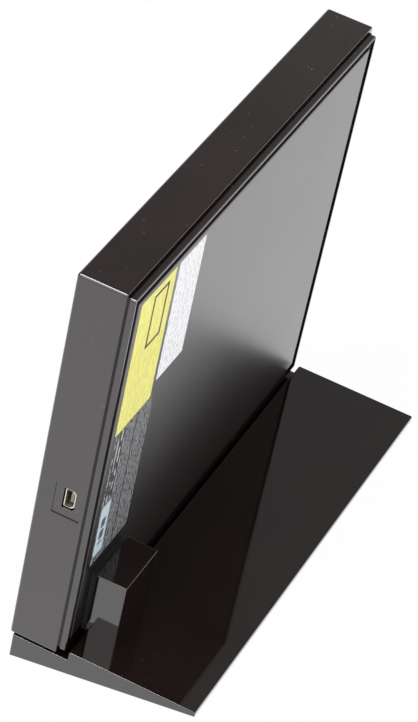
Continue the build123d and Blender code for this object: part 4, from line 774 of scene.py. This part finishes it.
bpy.ops.object.modifier_apply(modifier="winding")
bpy.ops.object.mode_set(mode="EDIT")
bpy.ops.mesh.select_all(action="SELECT")
bpy.ops.mesh.fill_holes(sides=thread_sides)
bpy.ops.object.mode_set(mode="OBJECT")
bpy.ops.mesh.primitive_cylinder_add(
    vertices=24, radius=core_radius, depth=core_length, location=(0, 0, core_middle)
)
core = bpy.context.object
bpy.ops.object.transform_apply(location=True, rotation=True, scale=True)
for way, reach in ((1, top_pivot), (-1, foot_pivot)):
    pick_faces(core, lambda centre, normal: normal.z * way > 0.9)
    bpy.ops.mesh.inset(thickness=pivot_step)
    bpy.ops.mesh.extrude_region_move(TRANSFORM_OT_translate={"value": (0, 0, way * reach)})
    bpy.ops.object.mode_set(mode="OBJECT")
bpy.ops.object.select_all(action="DESELECT")
core.select_set(True)
thread.select_set(True)
bpy.context.view_layer.objects.active = thread
bpy.ops.object.join()
bpy.ops.object.mode_set(mode="EDIT")
bpy.ops.mesh.select_all(action="SELECT")
bpy.ops.mesh.normals_make_consistent(inside=False)
bpy.ops.object.mode_set(mode="OBJECT")
bpy.ops.object.shade_smooth_by_angle(angle=radians(40))
thread.rotation_euler = (0, pi / 2, 0)
thread.location = screw_start
place_in(thread, traverse_frame)
thread.data.materials.append(along_rods)
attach(thread, "screw")
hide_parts("lead_screw")

# The spindle motor: a steel base with a sintered bush, nine stator teeth wound with varnished
# copper, and a turned aluminium rotor whose top is the turntable.


def turned_metal(name, colour, roughness):
    """Metal faced on a lathe: fine rings about the spindle, in colour, roughness and relief."""
    material, tree, shader, place = fresh_material(name)
    shader.inputs["Metallic"].default_value = 1.0
    rings = tree.nodes.new("ShaderNodeTexWave")
    rings.wave_type = "RINGS"
    rings.rings_direction = "Z"
    rings.inputs["Scale"].default_value = 900
    rings.inputs["Distortion"].default_value = 0.4
    tree.links.new(in_frame(tree, place, traverse_frame), rings.inputs["Vector"])
    tree.links.new(tones(tree, rings.outputs["Fac"], shade(colour, 0.9), shade(colour, 1.05)),
                   shader.inputs["Base Color"])
    tree.links.new(between(tree, rings.outputs["Fac"], roughness, roughness * 1.4, 0, 1),
                   shader.inputs["Roughness"])
    relief(tree, shader, rings.outputs["Fac"], 0.000002)
    return material


dress("spindle_motor_base", motor_can)
copper_wire, wire_tree, wire_shader, wire_place = fresh_material("copper_winding")
wire_shader.inputs["Metallic"].default_value = 1.0
wire_shader.inputs["Coat Weight"].default_value = 0.6
wire_shader.inputs["Roughness"].default_value = 0.35
wire_turns = bands(wire_tree, in_frame(wire_tree, wire_place, traverse_frame), "Z", 1250)
wire_tree.links.new(
    tones(wire_tree, wire_turns, (0.42, 0.16, 0.05), (0.80, 0.38, 0.16), 0.3, 0.7),
    wire_shader.inputs["Base Color"],
)
relief(wire_tree, wire_shader, wire_turns, 0.00004)
dress("spindle_stator", copper_wire)
dress("spindle_rotor", turned_metal("turned_aluminium", (0.74, 0.74, 0.75), 0.2))

# The disc hub on the turntable: a black moulded boss with three spring jaws of white acetal,
# and round it a ring of black rubber that grips the disc.
dress("hub_ring", rubber("grip_ring_rubber", (0.016, 0.016, 0.016)))
dress("disc_hub", moulded_plastic("hub_black", (0.020, 0.020, 0.021), 0.34, 2600, 0.000006))
jaw_acetal = moulded_plastic("jaw_acetal", (0.70, 0.69, 0.64), 0.36, 2400, 0.000005)
for number in (1, 2, 3):
    dress(f"hub_jaw_{number}", jaw_acetal)

# The pickup sled: glass-filled black plastic on the two rods, drawn along by an acetal nut. In
# it hangs the lens holder, a pale liquid-crystal polymer moulding on four thin bronze wires.
dress("pickup_sled", moulded_plastic("sled_black", (0.024, 0.024, 0.026), 0.5, 2400, 0.000018))
dress("rack_nut", jaw_acetal)
dress("lens_holder", moulded_plastic("holder_polymer", (0.30, 0.29, 0.26), 0.4, 2600, 0.000006))
wire_radius, wire_length, wire_middle = 0.00005, 0.0055, 0.0215
bronze_wire = rolled_steel("bronze_wire", (0.78, 0.55, 0.32), 0.25, scale=3000)
bpy.ops.object.select_all(action="DESELECT")
bpy.ops.mesh.primitive_cylinder_add(
    vertices=8, radius=wire_radius, depth=wire_length, rotation=(0, pi / 2, 0)
)
wire = bpy.context.object
wire.name = "lens_wire"
bpy.ops.object.transform_apply(location=True, rotation=True, scale=True)
pick_faces(wire, lambda centre, normal: abs(normal.x) > 0.9)
bpy.ops.mesh.inset(thickness=0.00002)
bpy.ops.object.mode_set(mode="OBJECT")
wire.data.materials.append(bronze_wire)
set_copies(
    wire,
    [traverse_frame @ Matrix.Translation((wire_middle, y, z))
     for y in (-0.00575, 0.00575) for z in (0.0102, 0.0112)],
    "lens",
)

# The objective lens: a moulded glass lens with a bluish anti-reflection coat, cemented in the
# holder's seat.
lens_glass, lens_tree, lens_shader, lens_place = fresh_material("lens_glass")
lens_shader.inputs["IOR"].default_value = 1.6
lens_shader.inputs["Roughness"].default_value = 0.02
lens_shader.inputs["Coat Weight"].default_value = 1.0
lens_shader.inputs["Coat IOR"].default_value = 1.9
lens_shader.inputs["Coat Tint"].default_value = (0.62, 0.70, 1.0, 1)
lens_shader.inputs["Transmission Weight"].default_value = 0.9
lens_tint = noise(lens_tree, lens_place, 400, 1)
lens_tree.links.new(
    tones(lens_tree, lens_tint, (0.62, 0.70, 0.90), (0.70, 0.78, 0.95)),
    lens_shader.inputs["Base Color"],
)
dress("objective_lens", lens_glass)

# The tray's circuit board with its chips, the eject switch and the light pipe: the pipe is a
# bent bar of clear acrylic that brings the light of a small lamp to the bezel.
dress("tray_board", green_board)
dress("tray_chips", black_epoxy)
dress("eject_switch", moulded_plastic("switch_black", (0.030, 0.030, 0.031), 0.4, 2600, 0.000006))
clear_acrylic, clear_tree, clear_shader, clear_place = fresh_material("light_pipe_acrylic")
clear_shader.inputs["IOR"].default_value = 1.49
clear_shader.inputs["Transmission Weight"].default_value = 0.55
clear_cloud = noise(clear_tree, clear_place, 500, 2)
clear_tree.links.new(
    tones(clear_tree, clear_cloud, (0.74, 0.75, 0.76), (0.84, 0.85, 0.86)),
    clear_shader.inputs["Base Color"],
)
clear_tree.links.new(between(clear_tree, clear_cloud, 0.3, 0.5), clear_shader.inputs["Roughness"])
dress("light_pipe", clear_acrylic)

# The latch: an acetal lever on a stud under the shield, a solenoid whose coil is wound on a
# bobbin and taped, and its steel plunger, which turns the lever by a pin.
dress("latch_lever", jaw_acetal)
coil_tape, tape_tree, tape_shader, tape_place = fresh_material("coil_tape_amber")
tape_shader.inputs["IOR"].default_value = 1.5
tape_shader.inputs["Roughness"].default_value = 0.25
tape_wraps = bands(tape_tree, in_frame(tape_tree, tape_place, drive_frame), "X", 180)
tape_tree.links.new(
    tones(tape_tree, tape_wraps, (0.52, 0.27, 0.04), (0.68, 0.40, 0.08), 0.3, 0.7),
    tape_shader.inputs["Base Color"],
)
relief(tape_tree, tape_shader, tape_wraps, 0.00003)
dress("latch_solenoid", coil_tape)
dress("solenoid_plunger", along_rods)

# The eject button: a polished black key in the bezel's slot, moulded in one with its flange
# and the stem that presses the switch.
dress("eject_button", bezel_gloss)
